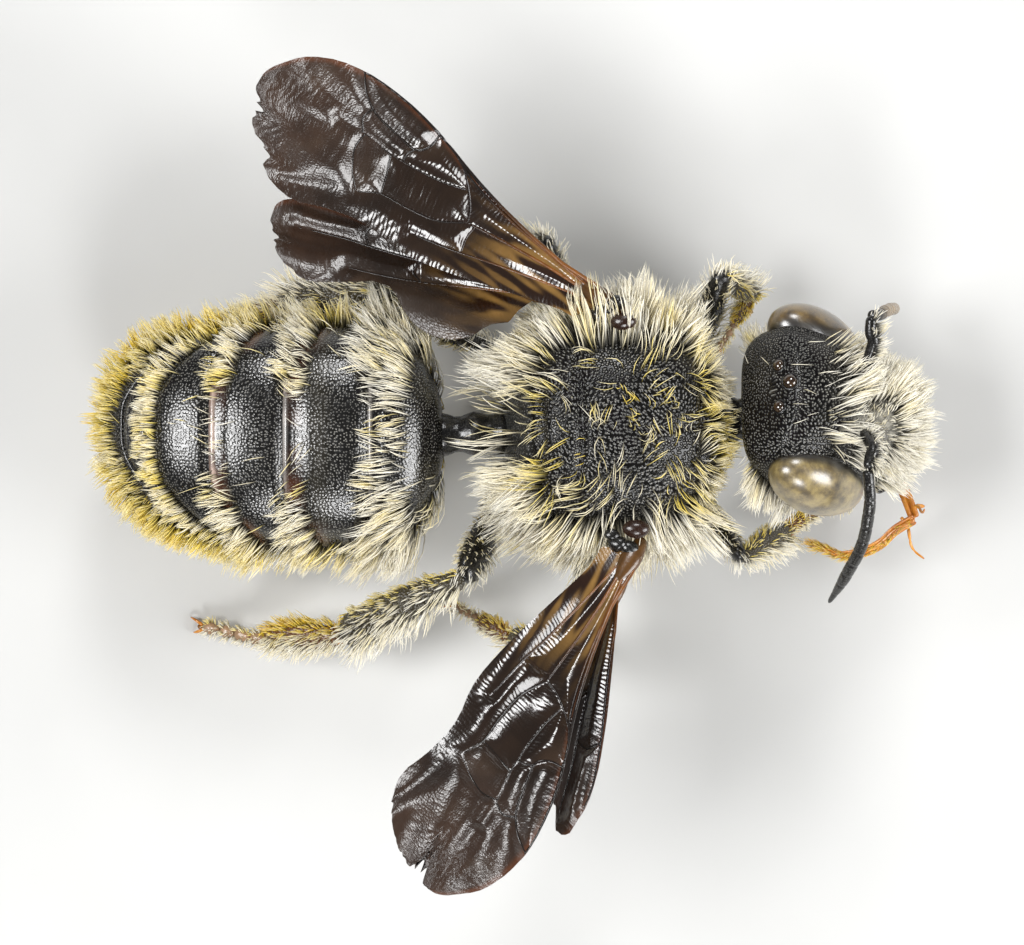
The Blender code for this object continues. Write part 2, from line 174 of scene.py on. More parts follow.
def spine(node, count, near=None, towards=None):
    """The middle line of a CAD limb, from its end near a point or along a direction."""
    samples = surface_samples(node)
    middle = samples.mean(0)
    if towards is None:
        towards = np.linalg.svd(samples - middle, full_matrices=False)[2][0]
        towards = towards * (1 if (middle - near) @ towards > 0 else -1)
    along = (samples - middle) @ unit(np.asarray(towards, float))
    edges = np.linspace(along.min(), along.max(), count + 1)
    slabs = [samples[(along >= a) & (along <= b)].mean(0) for a, b in zip(edges, edges[1:])]
    start = slabs[0] + (slabs[0] - slabs[1]) * SLAB_END
    end = slabs[-1] + (slabs[-1] - slabs[-2]) * SLAB_END
    return np.array([start, *slabs[1:-1], end])


def fitted(node):
    """(middle, axes in rows, half sizes) of a CAD ellipsoid, longest axis first."""
    samples = surface_samples(node)
    middle = (samples.max(0) + samples.min(0)) / 2
    axes = np.linalg.svd(samples - middle, full_matrices=False)[2]
    return middle, axes, np.abs((samples - middle) @ axes.T).max(0)


# Rings -----------------------------------------------------------------

LIMB_STEPS = 60  # of the curves that a limb's line and profile are read from
CROWDED = 0.04  # the least of this makes a limb's rings crowd most to its ends
LEAST_OPEN = 0.02  # of a limb's rounded ends, as the square of their thickness
FIRST_TURN = 0.03  # from a ball's pole to its first ring


def directions(sides):
    """Sine and cosine of the angle from the top to each column of a ring."""
    angle = np.linspace(0, math.tau, sides, endpoint=False)
    return np.sin(angle), np.cos(angle)


def boxy(sine, cosine, power):
    """How much further than a circle a boxier cross-section reaches."""
    return (np.abs(sine) ** power + np.abs(cosine) ** power) ** (-1 / power)


def oval(across, rise, sides):
    """Points round a middle, or round many, which reach as far as across and rise."""
    sine, cosine = (part[:, None] for part in directions(sides))
    return across[..., None, :] * sine + rise[..., None, :] * cosine


def tube_rings(line, wide, deep, sides=20, across=None):
    """Rings round a line, wide along across (or in the line's own plane) and deep square to that."""
    tangent = unit(np.gradient(line, axis=0))
    if across is None:
        flat = np.linalg.svd(line - line.mean(0), full_matrices=False)[2][-1]
        across = np.cross(tangent, flat)
    across = unit(across - tangent * (across * tangent).sum(-1, keepdims=True))
    wide, deep = (np.broadcast_to(size, len(line))[:, None] for size in (wide, deep))
    return line[:, None] + oval(across * wide, np.cross(across, tangent) * deep, sides)


def rounding(start, end, least):
    """How thick a round-ended form is, by how much of the rounding at its start and end is passed."""
    return np.sqrt(np.clip(1 - (1 - np.minimum(start, end).clip(0, 1)) ** 2, least, 1))


def limb(points, profile, rows=24, sides=20, across=None):
    """Rings of a round-ended limb. The profile is (share of the length, half width, half depth) rows."""
    share = (1 - np.cos(np.linspace(CROWDED, 1 - CROWDED, rows) * math.pi)) / 2
    share = (share - share[0]) / (share[-1] - share[0])
    line = looked_up(share, np.linspace(0, 1, LIMB_STEPS), smooth_line(points, LIMB_STEPS))
    profile = smooth_line(profile, LIMB_STEPS)
    wide, deep = looked_up(share, profile[:, 0], profile[:, 1:]).T
    length = np.linalg.norm(np.diff(line, axis=0), axis=1).sum()
    closing = rounding(share * length / wide[0], (1 - share) * length / wide[-1], LEAST_OPEN)
    return tube_rings(line, wide * closing, deep * closing, sides, across)


def ball_rings(middle, axes, half, rows=24, sides=32):
    """Rings of an ellipsoid, with its poles on the first of its axes."""
    turn = np.linspace(FIRST_TURN, math.pi - FIRST_TURN, rows)[:, None]
    line = middle - axes[0] * (half[0] * np.cos(turn))
    ring = oval(axes[1] * half[1], np.cross(axes[1], axes[0]) * half[2], sides)
    return line[:, None] + ring * np.sin(turn)[..., None]


def grid_normals(grid):
    """The outward direction at each point of a grid of rings."""
    around = np.roll(grid, -1, 1) - np.roll(grid, 1, 1)
    return unit(np.cross(around, np.gradient(grid, axis=0)))


def cell_areas(grid):
    around = np.roll(grid, -1, 1) - grid
    return np.linalg.norm(np.cross(grid[1:] - grid[:-1], around[:-1]), axis=-1)


def ring_quads(index):
    """The faces between rings of numbered points."""
    beside = np.roll(index, -1, 1)
    return np.stack([index[:-1], beside[:-1], beside[1:], index[1:]], -1).reshape(-1, 4)


def laid_flat(grid):
    """How far each point of some rings lies round from their first column and along from the first ring."""
    step = np.linalg.norm(np.roll(grid, -1, 1) - grid, axis=-1)
    whole = step.sum(1, keepdims=True)
    around = np.cumsum(step, 1) - step
    around = np.where(around > whole / 2, around - whole, around)
    along = np.cumsum(np.linalg.norm(np.diff(grid, axis=0, prepend=grid[:1]), axis=-1), 0)
    return np.stack([around, along, 0 * along], -1)


# Pieces ----------------------------------------------------------------


class Shape:
    """Points and faces that grow by grids of rings and become one piece."""

    def __init__(self):
        self.points, self.quads, self.tris, self.tints, self.flats = [], [], [], [], []
        self.count = 0

    def grid(self, grid, tint=(1, 1, 1, 1), flat=None):
        """Adds rings closed by a fan at both ends, with their tint and their place laid flat."""
        rows, columns = grid.shape[:2]
        index = np.arange(rows * columns).reshape(rows, columns)
        ends = ((index[0][::-1], index.size), (index[-1], index.size + 1))
        tris = np.vstack([np.stack([ring, np.roll(ring, -1), ring * 0 + end], 1) for ring, end in ends])
        tint = np.broadcast_to(tint, (rows, columns, 4))
        flat = laid_flat(grid) if flat is None else flat
        for kept, values in ((self.tints, tint), (self.flats, flat)):
            kept.append(np.vstack([values.reshape(index.size, -1), values[0, :1], values[-1, :1]]))
        self.points.append(np.vstack([grid.reshape(-1, 3), grid[0].mean(0), grid[-1].mean(0)]))
        self.quads.append(ring_quads(index) + self.count)
        self.tris.append(tris + self.count)
        self.count += index.size + 2
        return self

    def make(self, name, finish, slot, *nodes):
        """Makes the piece, which rides on the one body and stands for those CAD nodes."""
        points, quads, tris = map(np.concatenate, (self.points, self.quads, self.tris))
        points[:, 2] = np.maximum(points[:, 2], 0)
        made = mesh_object(name, points, quads, tris, FINISHES[finish])
        point_layer(made.data, "tint", "FLOAT_COLOR", "color", np.concatenate(self.tints))
        point_layer(made.data, "flat", "FLOAT_VECTOR", "vector", np.concatenate(self.flats))
        settle(made, slot, nodes)


def placed(name, data):
    """A new object in the scene."""
    made = bpy.data.objects.new(name, data)
    bpy.context.scene.collection.objects.link(made)
    return made


def mesh_object(name, points, quads, tris, finish):
    """A smooth mesh object in the frame's metres."""
    mesh = bpy.data.meshes.new(name)
    mesh.vertices.add(len(points))
    mesh.vertices.foreach_set("co", ((points + SHIFT) * MM).astype(np.float32).ravel())
    corners = np.concatenate([quads.ravel(), tris.ravel()]).astype(np.int32)
    sizes = np.repeat([4, 3], [len(quads), len(tris)])
    mesh.loops.add(len(corners))
    mesh.loops.foreach_set("vertex_index", corners)
    mesh.polygons.add(len(sizes))
    mesh.polygons.foreach_set("loop_start", (np.cumsum(sizes) - sizes).astype(np.int32))
    mesh.update(calc_edges=True)
    mesh.shade_smooth()
    mesh.materials.append(finish)
    return placed(name, mesh)


def point_layer(mesh, name, kind, key, values):
    """A value at each point, for the finish to read."""
    layer = mesh.attributes.new(name, kind, "POINT")
    layer.data.foreach_set(key, values.astype(np.float32).ravel())


def settle(made, slot, nodes=()):
    """Puts a finished piece on the one body, in the place of the CAD nodes that it stands for."""
    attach(made, "root")
    if nodes:
        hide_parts(*nodes)


# The coat --------------------------------------------------------------

HAIR_PLACES = vec(0, 0.3, 0.6, 0.85, 1)  # where along a hair its rings stand
HAIR_TAPER = vec(1, 1.0, 0.8, 0.5)
HAIR_SIDES = 3
MOST_HAIRS = 8800  # in one piece, which keeps it under 200,000 triangles
ROOT_SCATTER, TIP_SCATTER, LOCK_LEAN = 0.14, 0.2, 0.2  # how much hairs and their locks stray from the lie
HAIR_LENGTHS, LOCK_LENGTHS, HAIR_WIDTHS = (0.62, 1.1), (0.8, 1.15), (0.75, 1.2)  # shares of what is wanted
HAIR_TONES, LOCK_TONES = 0.06, 0.07  # how much shades vary
PULL_POWER = 1.5  # how late along a hair its lock draws it in
PATCH = 0.003  # of the bake map, for one hair

Spot = namedtuple("Spot", "place normal along u v")  # on a skin: u is the share round it, v the share along
Growth = namedtuple("Growth", "density start end length tone thick")  # start and end are directions


class Coat:
    """Hairs gathered from one or more skins, which become one piece or several."""

    def __init__(self, name, slot, radius, pull=0.6, clump=8, lift=0.0):
        self.name, self.slot, self.radius = name, slot, radius
        self.pull, self.clump = pull, clump  # how far a lock's tips are drawn together, and its hairs
        self.lift = lift  # how much of the painted root shade is left out
        self.hairs = []

    def grow(self, skin, count, rule, tile=(0, 0, 1)):
        """Hairs on a grid of rings. The rule says how they grow at each spot, the tile where they bake."""
        fields = skin, grid_normals(skin), unit(np.gradient(skin, axis=0))
        rows, columns = len(skin) - 1, skin.shape[1]

        def spot(row, column, down, aside):
            place, normal, along = (in_cells(values, row, column, down, aside) for values in fields)
            return Spot(place, unit(normal), unit(along), (column + aside) / columns, (row + down) / rows)

        weight = cell_areas(skin) * rule(spot(*np.indices((rows, columns)), 0.5, 0.5)).density
        picked = random.choice(weight.size, count, p=(weight / weight.sum()).ravel())
        chosen = spot(*np.divmod(picked, columns), *random.random((2, count)))
        self.comb(chosen, rule(chosen), np.stack([chosen.u, chosen.v], 1) * tile[2] + tile[:2])

    def comb(self, spot, wanted, places):
        """Bends each hair from its first direction to its last. Locks lean and end together."""
        root, count = spot.place, len(spot.place)
        locks = max(1, count // self.clump)
        leader = nearest(root, root[:locks])
        lean = (random.normal(size=(locks, 3)) * LOCK_LEAN)[leader]
        start = unit(wanted.start + random.normal(size=(count, 3)) * ROOT_SCATTER + lean * 0.5)
        end = unit(wanted.end + random.normal(size=(count, 3)) * TIP_SCATTER + lean)
        length = wanted.length * random.uniform(*HAIR_LENGTHS, count)
        length = length * random.uniform(*LOCK_LENGTHS, locks)[leader]
        path = [root - spot.normal * self.radius]
        for here, there in zip(HAIR_PLACES, HAIR_PLACES[1:]):
            heading = unit(mix(start, end, (here + there) / 2))
            path.append(path[-1] + heading * (length * (there - here))[:, None])
        path = np.stack(path, 1)
        apart = (root - root[leader])[:, None] * (1 - self.pull)
        path = path + (path[leader] + apart - path) * (self.pull * HAIR_PLACES[:, None] ** PULL_POWER)
        path[..., 2] = np.maximum(path[..., 2], self.radius)
        strays = random.normal(size=count) * HAIR_TONES + (random.normal(size=locks) * LOCK_TONES)[leader]
        thick = np.broadcast_to(wanted.thick, count) * random.uniform(*HAIR_WIDTHS, count)
        self.hairs.append((path, np.clip(wanted.tone + strays, 0, 1), places, thick * self.radius))

    def make(self):
        """Makes as many pieces as keep each one small enough."""
        fields = [np.concatenate(field) for field in zip(*self.hairs)]
        pieces = -(-len(fields[0]) // MOST_HAIRS)
        for number in range(pieces):
            name = self.name if pieces == 1 else f"{self.name}_{number + 1}"
            self.piece(name, *(field[number::pieces] for field in fields))

    def piece(self, name, paths, tones, places, radius):
        """One mesh of thin three-sided hairs that end in a point."""
        count, rings = len(paths), len(HAIR_TAPER)
        tangent = unit(np.gradient(paths, axis=1))[:, :-1]
        across = unit(np.cross(tangent, unit(random.normal(size=(count, 1, 3)))))
        size = (radius[:, None] * HAIR_TAPER)[..., None, None]
        body = paths[:, :-1, None] + oval(across, np.cross(across, tangent), HAIR_SIDES) * size
        points = np.concatenate([body.reshape(count, -1, 3), paths[:, -1:]], 1)
        ring = np.arange(rings * HAIR_SIDES).reshape(rings, HAIR_SIDES)
        tip = np.stack([ring[-1], np.roll(ring[-1], -1), ring[-1] * 0 + ring.size], 1)
        first = (np.arange(count) * (ring.size + 1))[:, None, None]
        faces = ring_quads(ring), np.vstack([ring[:1, ::-1], tip])
        quads, tris = ((face + first).reshape(-1, face.shape[1]) for face in faces)
        made = mesh_object(name, points.reshape(-1, 3), quads, tris, FINISHES["hair"])
        self.paint(made.data, tones, places)
        settle(made, self.slot)

    def paint(self, mesh, tones, places):
        """Each hair's own shade, its rise from root to tip, and its patch of the bake map."""
        along = np.append(np.repeat(HAIR_PLACES[:-1], HAIR_SIDES), 1.0)
        beside = np.append(np.tile(np.arange(HAIR_SIDES) / 2 - 0.5, len(HAIR_TAPER)), 0)
        point_layer(mesh, "tone", "FLOAT", "value", np.repeat(tones, len(along)))
        # the rise sets the painted shade at each hair's root and the paleness of its tip
        point_layer(mesh, "rise", "FLOAT", "value", np.tile(mix(self.lift, 1, along), len(tones)))
        patch = np.stack([beside, along - 0.5], 1) * PATCH
        at_points = (mix(PATCH, 1 - PATCH, places)[:, None] + patch).reshape(-1, 2)
        corners = np.empty(len(mesh.loops), np.int32)
        mesh.loops.foreach_get("vertex_index", corners)
        layer = mesh.uv_layers.new(name="OFBake", do_init=False)
        layer.uv.foreach_set("vector", at_points[corners].astype(np.float32).ravel())


def in_cells(values, row, column, down, aside):
    """Values of a grid of rings at shares of the way over some of its cells."""
    after = (column + 1) % values.shape[1]
    top = blend(values[row, column], values[row, after], aside)
    return blend(top, blend(values[row + 1, column], values[row + 1, after], aside), down)


def nearest(points, leaders):
    return ((points**2).sum(1)[:, None] + (leaders**2).sum(1) - 2 * points @ leaders.T).argmin(1)


# Finishes --------------------------------------------------------------


class Finish:
    """A Principled material, and short words for wiring nodes to it. Sizes are in millimetres."""

    def __init__(self, name, **sockets):
        self.material = bpy.data.materials.new(name)
        self.material.use_nodes = True
        self.tree = self.material.node_tree
        self.shader = self.tree.nodes["Principled BSDF"]
        for socket, value in sockets.items():
            self.shader.inputs[socket.replace("_", " ")].default_value = value
        self.place = self.node("ShaderNodeTexCoord").outputs["Object"]

    def node(self, kind, inputs=None, **settings):
        made = self.tree.nodes.new(kind)
        for name, value in settings.items():
            setattr(made, name, value)
        for name, value in (inputs or {}).items():
            if isinstance(value, bpy.types.NodeSocket):
                self.tree.links.new(value, made.inputs[name])
            else:
                made.inputs[name].default_value = value
        return made

    def link(self, **outputs):
        """Wires outputs to the shader's sockets and gives back the material."""
        for socket, output in outputs.items():
            self.tree.links.new(output, self.shader.inputs[socket.replace("_", " ")])
        return self.material

    def attribute(self, name, *outputs):
        made = self.node("ShaderNodeAttribute", attribute_name=name)
        return [made.outputs[output] for output in outputs]

    def noise(self, size, detail=3.0, rough=0.55):
        """Noise from 0 to 1 with features of that size."""
        inputs = {"Vector": self.place, "Scale": 1 / (size * MM), "Detail": detail, "Roughness": rough}
        return self.node("ShaderNodeTexNoise", inputs).outputs["Fac"]

    def cells(self, size, scatter):
        """The distance to the middle of the nearest of many cells of that size, even over the skin."""
        (flat,) = self.attribute("flat", "Vector")
        inputs = {"Vector": flat, "Scale": 1 / size, "Randomness": scatter}
        return self.node("ShaderNodeTexVoronoi", inputs, voronoi_dimensions="2D").outputs["Distance"]

    def wrinkles(self, size):
        """Wavering folds of that size across the length of the skin."""
        (flat,) = self.attribute("flat", "Vector")
        inputs = {"Vector": flat, "Scale": math.tau / 20 / size, "Distortion": 5.0}
        inputs |= {"Detail": 1.5, "Detail Scale": 1.2}
        return self.node("ShaderNodeTexWave", inputs, bands_direction="Y").outputs["Fac"]

    def spread(self, value, low, high, to_low=0.0, to_high=1.0):
        inputs = {"Value": value, "From Min": low, "From Max": high, "To Min": to_low, "To Max": to_high}
        return self.node("ShaderNodeMapRange", inputs, interpolation_type="SMOOTHSTEP").outputs[0]

    def mottle(self, size, low, high):
        """A value that varies from low to high in clouds of that size."""
        return self.spread(self.noise(size), 0.3, 0.7, low, high)

    def product(self, a, b):
        return self.node("ShaderNodeMath", {0: a, 1: b}, operation="MULTIPLY").outputs[0]

    def times(self, colour, value):
        """A colour darkened by a value."""
        settings = {"data_type": "RGBA", "blend_type": "MULTIPLY"}
        return self.node("ShaderNodeMix", {0: 1.0, 6: colour, 7: value}, **settings).outputs[2]

    def over(self, colour, pale, share):
        """A colour with a paler one laid over it by a share."""
        return self.node("ShaderNodeMix", {0: share, 6: colour, 7: (*pale, 1)}, data_type="RGBA").outputs[2]

    def ramp(self, value, *stops):
        made = self.node("ShaderNodeValToRGB", {"Fac": value})
        elements = made.color_ramp.elements
        while len(elements) < len(stops):
            elements.new(0.5)
        for element, (place, colour) in zip(elements, stops):
            element.position = place
            element.color = (*colour, 1)
        return made.outputs["Color"]

    def clouds(self, size, dark, pale):
        """A colour that varies between two in clouds of that size."""
        return self.ramp(self.noise(size), (0.3, dark), (0.7, pale))

    def relief(self, height, depth, strength=1.0, under=None):
        """A bump of that depth, laid over another one."""
        inputs = {"Height": height, "Distance": depth * MM, "Strength": strength}
        if under:
            inputs["Normal"] = under
        return self.node("ShaderNodeBump", inputs).outputs["Normal"]


PIT_GLINT_GREY = (0.30, 0.29, 0.26)  # painted glints: the pale colour of the dot laid on the floor of each pit


def cuticle(name, pit, depth, roughness, shine):
    """Black shell with close pits of that size, each with a painted glint, a pale dot on its floor."""
    made = Finish(name, Specular_IOR_Level=shine)
    colour, pitted = made.attribute("tint", "Color", "Alpha")
    mottled = made.times(colour, made.mottle(0.35, 0.7, 1.0))
    cells = made.cells(pit, 0.8)
    # painted glints: a pale dot in each pit, standing in for the light it catches
    painted_glints = made.product(made.spread(cells, 0.1, 0.3, 1.0, 0.0), pitted)
    painted_glints = made.product(painted_glints, made.mottle(0.45, 0.25, 0.8))
    fine = made.relief(made.noise(0.02, 2.0), 0.0015)
    return made.link(
        Base_Color=made.over(mottled, PIT_GLINT_GREY, painted_glints),
        Normal=made.relief(made.spread(cells, 0.05, 0.6), depth, pitted, fine),
        Roughness=made.spread(made.noise(0.12), 0.3, 0.75, roughness - 0.06, roughness + 0.08),
    )


def eye_finish():
    """Pale facets with darker clouds under a clear gloss."""
    made = Finish("eye", Roughness=0.32, Coat_Weight=1.0, Coat_IOR=1.8, Coat_Roughness=0.28)
    brown, olive, pale = (0.035, 0.026, 0.012), (0.13, 0.10, 0.045), (0.30, 0.25, 0.13)
    clouds = made.ramp(made.noise(0.26, 4.0, 0.66), (0.30, brown), (0.45, olive), (0.64, pale))
    facets = made.spread(made.cells(0.03, 0.3), 0.1, 0.5, 1.0, 0.0)
    colour = made.times(clouds, *made.attribute("tint", "Color"))
    return made.link(Base_Color=colour, Normal=made.relief(facets, 0.003))


def wing_finish():
    """Smoky, glossy membrane, finely ribbed all over and pimpled towards the tip."""
    made = Finish("wing", Specular_IOR_Level=0.85)
    colour, pimpled = made.attribute("tint", "Color", "Alpha")
    grain = made.relief(made.cells(0.05, 0.7), 0.0045, pimpled)
    ribbed = made.spread(pimpled, 0.1, 0.8, 1.0, 0.4)
    ribs = made.relief(made.wrinkles(0.085), 0.002, ribbed, grain)
    return made.link(
        Base_Color=made.times(colour, made.mottle(0.5, 0.7, 1.05)),
        Roughness=made.spread(pimpled, 0.1, 0.8, 0.17, 0.28),
        Normal=made.relief(made.noise(0.3, 1.0), 0.012, 0.5, ribs),
    )


def vein_finish():
    made = Finish("wing_vein", Roughness=0.26, Specular_IOR_Level=0.6)
    colour = made.times(*made.attribute("tint", "Color"), made.mottle(0.2, 0.6, 1.0))
    return made.link(Base_Color=colour, Normal=made.relief(made.noise(0.08, 2.0), 0.005))


def amber_finish():
    """Horn-like amber of the tongue, the palps and the claws."""
    made = Finish("amber", Roughness=0.24, Coat_Weight=0.4, Coat_Roughness=0.12)
    colour = made.clouds(0.22, (0.34, 0.10, 0.010), (0.74, 0.31, 0.032))
    colour = made.times(colour, *made.attribute("tint", "Color"))
    return made.link(Base_Color=colour, Normal=made.relief(made.noise(0.04, 2.0), 0.006))


HAIR_COLOURS = (
    (0.0, (0.90, 0.86, 0.75)),
    (0.25, (0.88, 0.79, 0.54)),
    (0.5, (0.89, 0.72, 0.18)),
    (0.8, (0.90, 0.64, 0.04)),
    (1.0, (0.60, 0.30, 0.02)),
)
HAIR_TIP = (0.93, 0.90, 0.80)


def coat_finish():
    """Hair that runs from white to gold and brown with its tone, darkened at the root by painted shade and
    pale at the tip.
    """
    made = Finish("hair", Roughness=0.4, Specular_IOR_Level=0.4)
    colour = made.ramp(*made.attribute("tone", "Fac"), *HAIR_COLOURS)
    (rise,) = made.attribute("rise", "Fac")
    colour = made.over(colour, HAIR_TIP, made.spread(rise, 0.5, 1.0, 0.0, 0.38))
    # painted shade: each hair darkens towards its root, where the coat shades itself
    return made.link(Base_Color=made.times(colour, made.spread(rise, 0.0, 0.62, 0.06, 1.0)))


def ocellus_finish():
    made = Finish("ocellus", Roughness=0.1, Coat_Weight=0.8, Coat_Roughness=0.05, Specular_IOR_Level=0.7)
    return made.link(Base_Color=made.clouds(0.1, (0.008, 0.005, 0.003), (0.05, 0.026, 0.010)))


def floor_finish():
    """Plain pale studio board."""
    made = Finish("studio_floor", Roughness=0.75, Specular_IOR_Level=0.2)
    return made.link(Base_Color=made.clouds(6.0, (0.54, 0.54, 0.53), (0.57, 0.57, 0.56)))


FINISHES = {
    "trunk": cuticle("trunk_shell", 0.07, 0.010, 0.2, 0.32),
    "head": cuticle("head_shell", 0.066, 0.008, 0.2, 0.32),
    "ring": cuticle("ring_shell", 0.058, 0.0034, 0.2, 0.8),
    "limb": cuticle("limb_shell", 0.05, 0.008, 0.24, 0.6),
    "eye": eye_finish(),
    "wing": wing_finish(),
    "vein": vein_finish(),
    "amber": amber_finish(),
    "ocellus": ocellus_finish(),
    "hair": coat_finish(),
}
BLACK = vec(0.0045, 0.004, 0.0036, 1.0)
SMOOTH_BLACK = vec(0.007, 0.0065, 0.006, 0.15)
PURE_AMBER = vec(1, 1, 1, 0)


# Trunk -----------------------------------------------------------------

# (place along Y, half width, top, bottom) as shares of the CAD thorax's half sizes, from its middle
THORAX_STATIONS = (
    (-0.92, 0.10, 0.02, 0.10), (-0.83, 0.36, 0.34, 0.50), (-0.62, 0.59, 0.62, 0.75),
    (-0.30, 0.70, 0.77, 0.84), (0.03, 0.725, 0.81, 0.86), (0.20, 0.715, 0.78, 0.86),
    (0.42, 0.65, 0.72, 0.84), (0.54, 0.57, 0.55, 0.76), (0.67, 0.44, 0.25, 0.60), (0.78, 0.14, -0.14, 0.30),
)  # fmt: skip
THORAX_POWER = 2.5  # how boxy the thorax is across
SCUTUM_END, SCUTELLUM_END, METANOTUM_END = 0.33, 1.03, 1.26  # where the plates of the back end, along Y
SIDE_SEAMS = ((-0.75, 0.35), (0.75, -0.3))  # place along Y and lean of each
# painted sheen: grey laid over the black of the hind slope, with shallower pits there
SLOPE_SHEEN_GREY = (0.045, 0.045, 0.042, 0.35)
LINKS = {"neck": 0.42, "waist": 0.36}  # how thick each is
TEGULA_SHARE = vec(0.66, 0.6, 0.66)  # of the CAD scale's half sizes
TEGULA_DARK, TEGULA_RED = (0.022, 0.008, 0.004, 0.1), (0.07, 0.022, 0.006, 0.1)
HINGE_KNOBS = ((0.34, 0.12, 0.13), (0.26, 0.34, 0.15), (0.1, 0.44, 0.11))  # outward, backward, radius


def thorax_grid(rows=110, columns=150):
    middle, half = node_box("thorax")
    along, width, top, bottom = smooth_line(THORAX_STATIONS, rows).T[:, :, None]
    sine, cosine = directions(columns)
    reach = boxy(sine, cosine, THORAX_POWER)
    x = middle[0] + half[0] * width * sine * reach
    y = middle[1] + half[1] * along + 0 * x
    z = middle[2] + half[2] * ((top - bottom) / 2 + (top + bottom) / 2 * cosine * reach)
    return np.stack([x, y, z], -1)


def thorax_relief(grid):
    """How far the thorax stands out or is sunk at each point: its plates and the grooves between."""
    x, y, z = np.moveaxis(grid, -1, 0)
    aside, bowed = np.abs(x), y - 0.06 * x**2
    scutum_edge = -0.10 * bump(SCUTUM_END, 0.06, bowed) * ramp(1.55, 1.1, aside)
    scutellum = 0.07 * ramp(SCUTUM_END, 0.5, bowed) * ramp(SCUTELLUM_END, 0.85, bowed) * ramp(1.2, 0.6, aside)
    hind_edges = -0.16 * bump(SCUTELLUM_END + 0.05, 0.06, bowed) - 0.08 * bump(METANOTUM_END, 0.05, bowed)
    middle_line = -0.05 * bump(0, 0.05, x) * ramp(-0.5, -0.9, y)
    side_lines = -0.035 * bump(0.62, 0.035, aside) * ramp(-0.85, -0.6, y) * ramp(0.15, 0.0, y)
    collar = -0.12 * bump(-1.93, 0.07, y - 0.1 * x**2)
    back = scutum_edge + scutellum + hind_edges + middle_line + side_lines + collar
    seams = -0.10 * sum(bump(place, 0.08, y + lean * (z - 3)) for place, lean in SIDE_SEAMS)
    swellings = 0.02 * wobble(grid, 0.7, 1) * ramp(2, 3, z)
    return back * ramp(3.3, 4.0, z) + seams * ramp(4.0, 3.5, z) + swellings


def make_thorax():
    """The thorax's own shell, in one piece, with its plates, grooves and a painted sheen of grey on its hind
    slope.
    """
    grid = thorax_grid()
    grid = grid + grid_normals(grid) * thorax_relief(grid)[..., None]
    # painted sheen: the hind slope is greyed from y 1.15 back
    tint = painted(BLACK, (SLOPE_SHEEN_GREY, ramp(1.15, 1.4, grid[..., 1]) * 0.8))
    Shape().grid(grid, tint).make("thorax_shell", "trunk", "coat", "thorax")
    return grid


def make_links():
    """The neck and the waist, with three low waves along each."""
    waves = 1 + 0.12 * np.cos(np.linspace(0, 3, 16) * math.tau)
    for node, radius in LINKS.items():
        line = smooth_line(spine(node, 3, towards=(0, 1, 0)), len(waves))
        rings = tube_rings(line, radius * waves, radius * waves, 32, vec(1, 0, 0))
        Shape().grid(rings, SMOOTH_BLACK).make(node + "_shell", "limb", "shell", node)


def make_tegula(side):
    """The glossy reddish brown scale over a wing's root, and the black knobs of its hinge beside it."""
    middle, half = node_box("tegula_" + side)
    order = [1, 0, 2]
    axes, shape = np.eye(3)[order], Shape()
    rings = ball_rings(middle, axes, half[order] * TEGULA_SHARE, 30, 40)
    low = ramp(0.3, -0.1, (rings[..., 2] - middle[2]) / half[2])
    shape.grid(uneven(rings, 0.35, 5), painted(TEGULA_DARK, (TEGULA_RED, low)))
    for outward, backward, radius in HINGE_KNOBS:
        knob = middle + vec(SIDES[side] * outward, backward, -0.04)
        rings = ball_rings(knob, axes, radius * vec(1.2, 1, 0.9), 14, 18)
        shape.grid(uneven(rings, 0.2, 6), SMOOTH_BLACK)
    shape.make("tegula_shell_" + side, "limb", "shell", "tegula_" + side)


def uneven(rings, size, seed):
    """Rings with faint swellings of that size."""
    return rings + wobble(rings, size, seed)[..., None] * 0.02


# Head ------------------------------------------------------------------

# (height above the eyes' middle, half width, depth in front, depth behind), millimetres, crown to mouth
HEAD_STATIONS = (
    (1.3, 0.3, 0.1, 0.3), (1.25, 0.96, 0.38, 0.66), (1.1, 1.26, 0.58, 0.84), (0.8, 1.42, 0.74, 0.93),
    (0.4, 1.5, 0.86, 0.95), (-0.1, 1.54, 0.93, 0.88), (-0.6, 1.44, 0.98, 0.76), (-1.05, 1.24, 0.98, 0.6),
    (-1.4, 1.0, 0.86, 0.46), (-1.66, 0.72, 0.6, 0.3), (-1.78, 0.25, 0.2, 0.1),
)  # fmt: skip
HEAD_PITCH = math.radians(-38)  # about the line between the eyes, so that the face looks up
HEAD_FRONT_POWER, HEAD_REAR_POWER = 2.4, 4.0  # how boxy the head is in front and behind
OCELLI = ((-0.4, -0.15, 1.27, 0.105), (0.04, -0.36, 1.21, 0.13), (0.4, -0.15, 1.27, 0.105))  # place, radius
SOCKETS = (0.42, -0.1)  # (across, up) of a feeler's root
BALD, BALD_SIZE = (-0.42, -0.48), 0.52  # (across, up) of the bare patch on the lower face
BALD_GREY = (0.42, 0.4, 0.34, 1.0)
EYE_RIM = (0.05, 0.04, 0.03, 1)
# the left eye's tone is browner and darker than the right's, its darkness painted shade
EYE_TONES_WITH_SHADE = {"left": (0.62, 0.46, 0.2, 1), "right": (1.0, 0.9, 0.62, 1)}
FEELER_JOINTS, PALP_JOINTS = 11, 4
FEELER_TONES = {"left": (0.30, 0.21, 0.11, 0.5), "right": (0.022, 0.021, 0.019, 0.3)}
FEELER_GROOVE = (0.006, 0.005, 0.005, 0.2)
JAW_SHARE = 0.82  # how far the bare jaw reaches along its CAD solid
JAW_RED = (0.06, 0.02, 0.012, 0.1)
PALPS = {"palp_upper": (0, 0, 1), "palp_lower": (-1, -1, 0)}  # which way each points

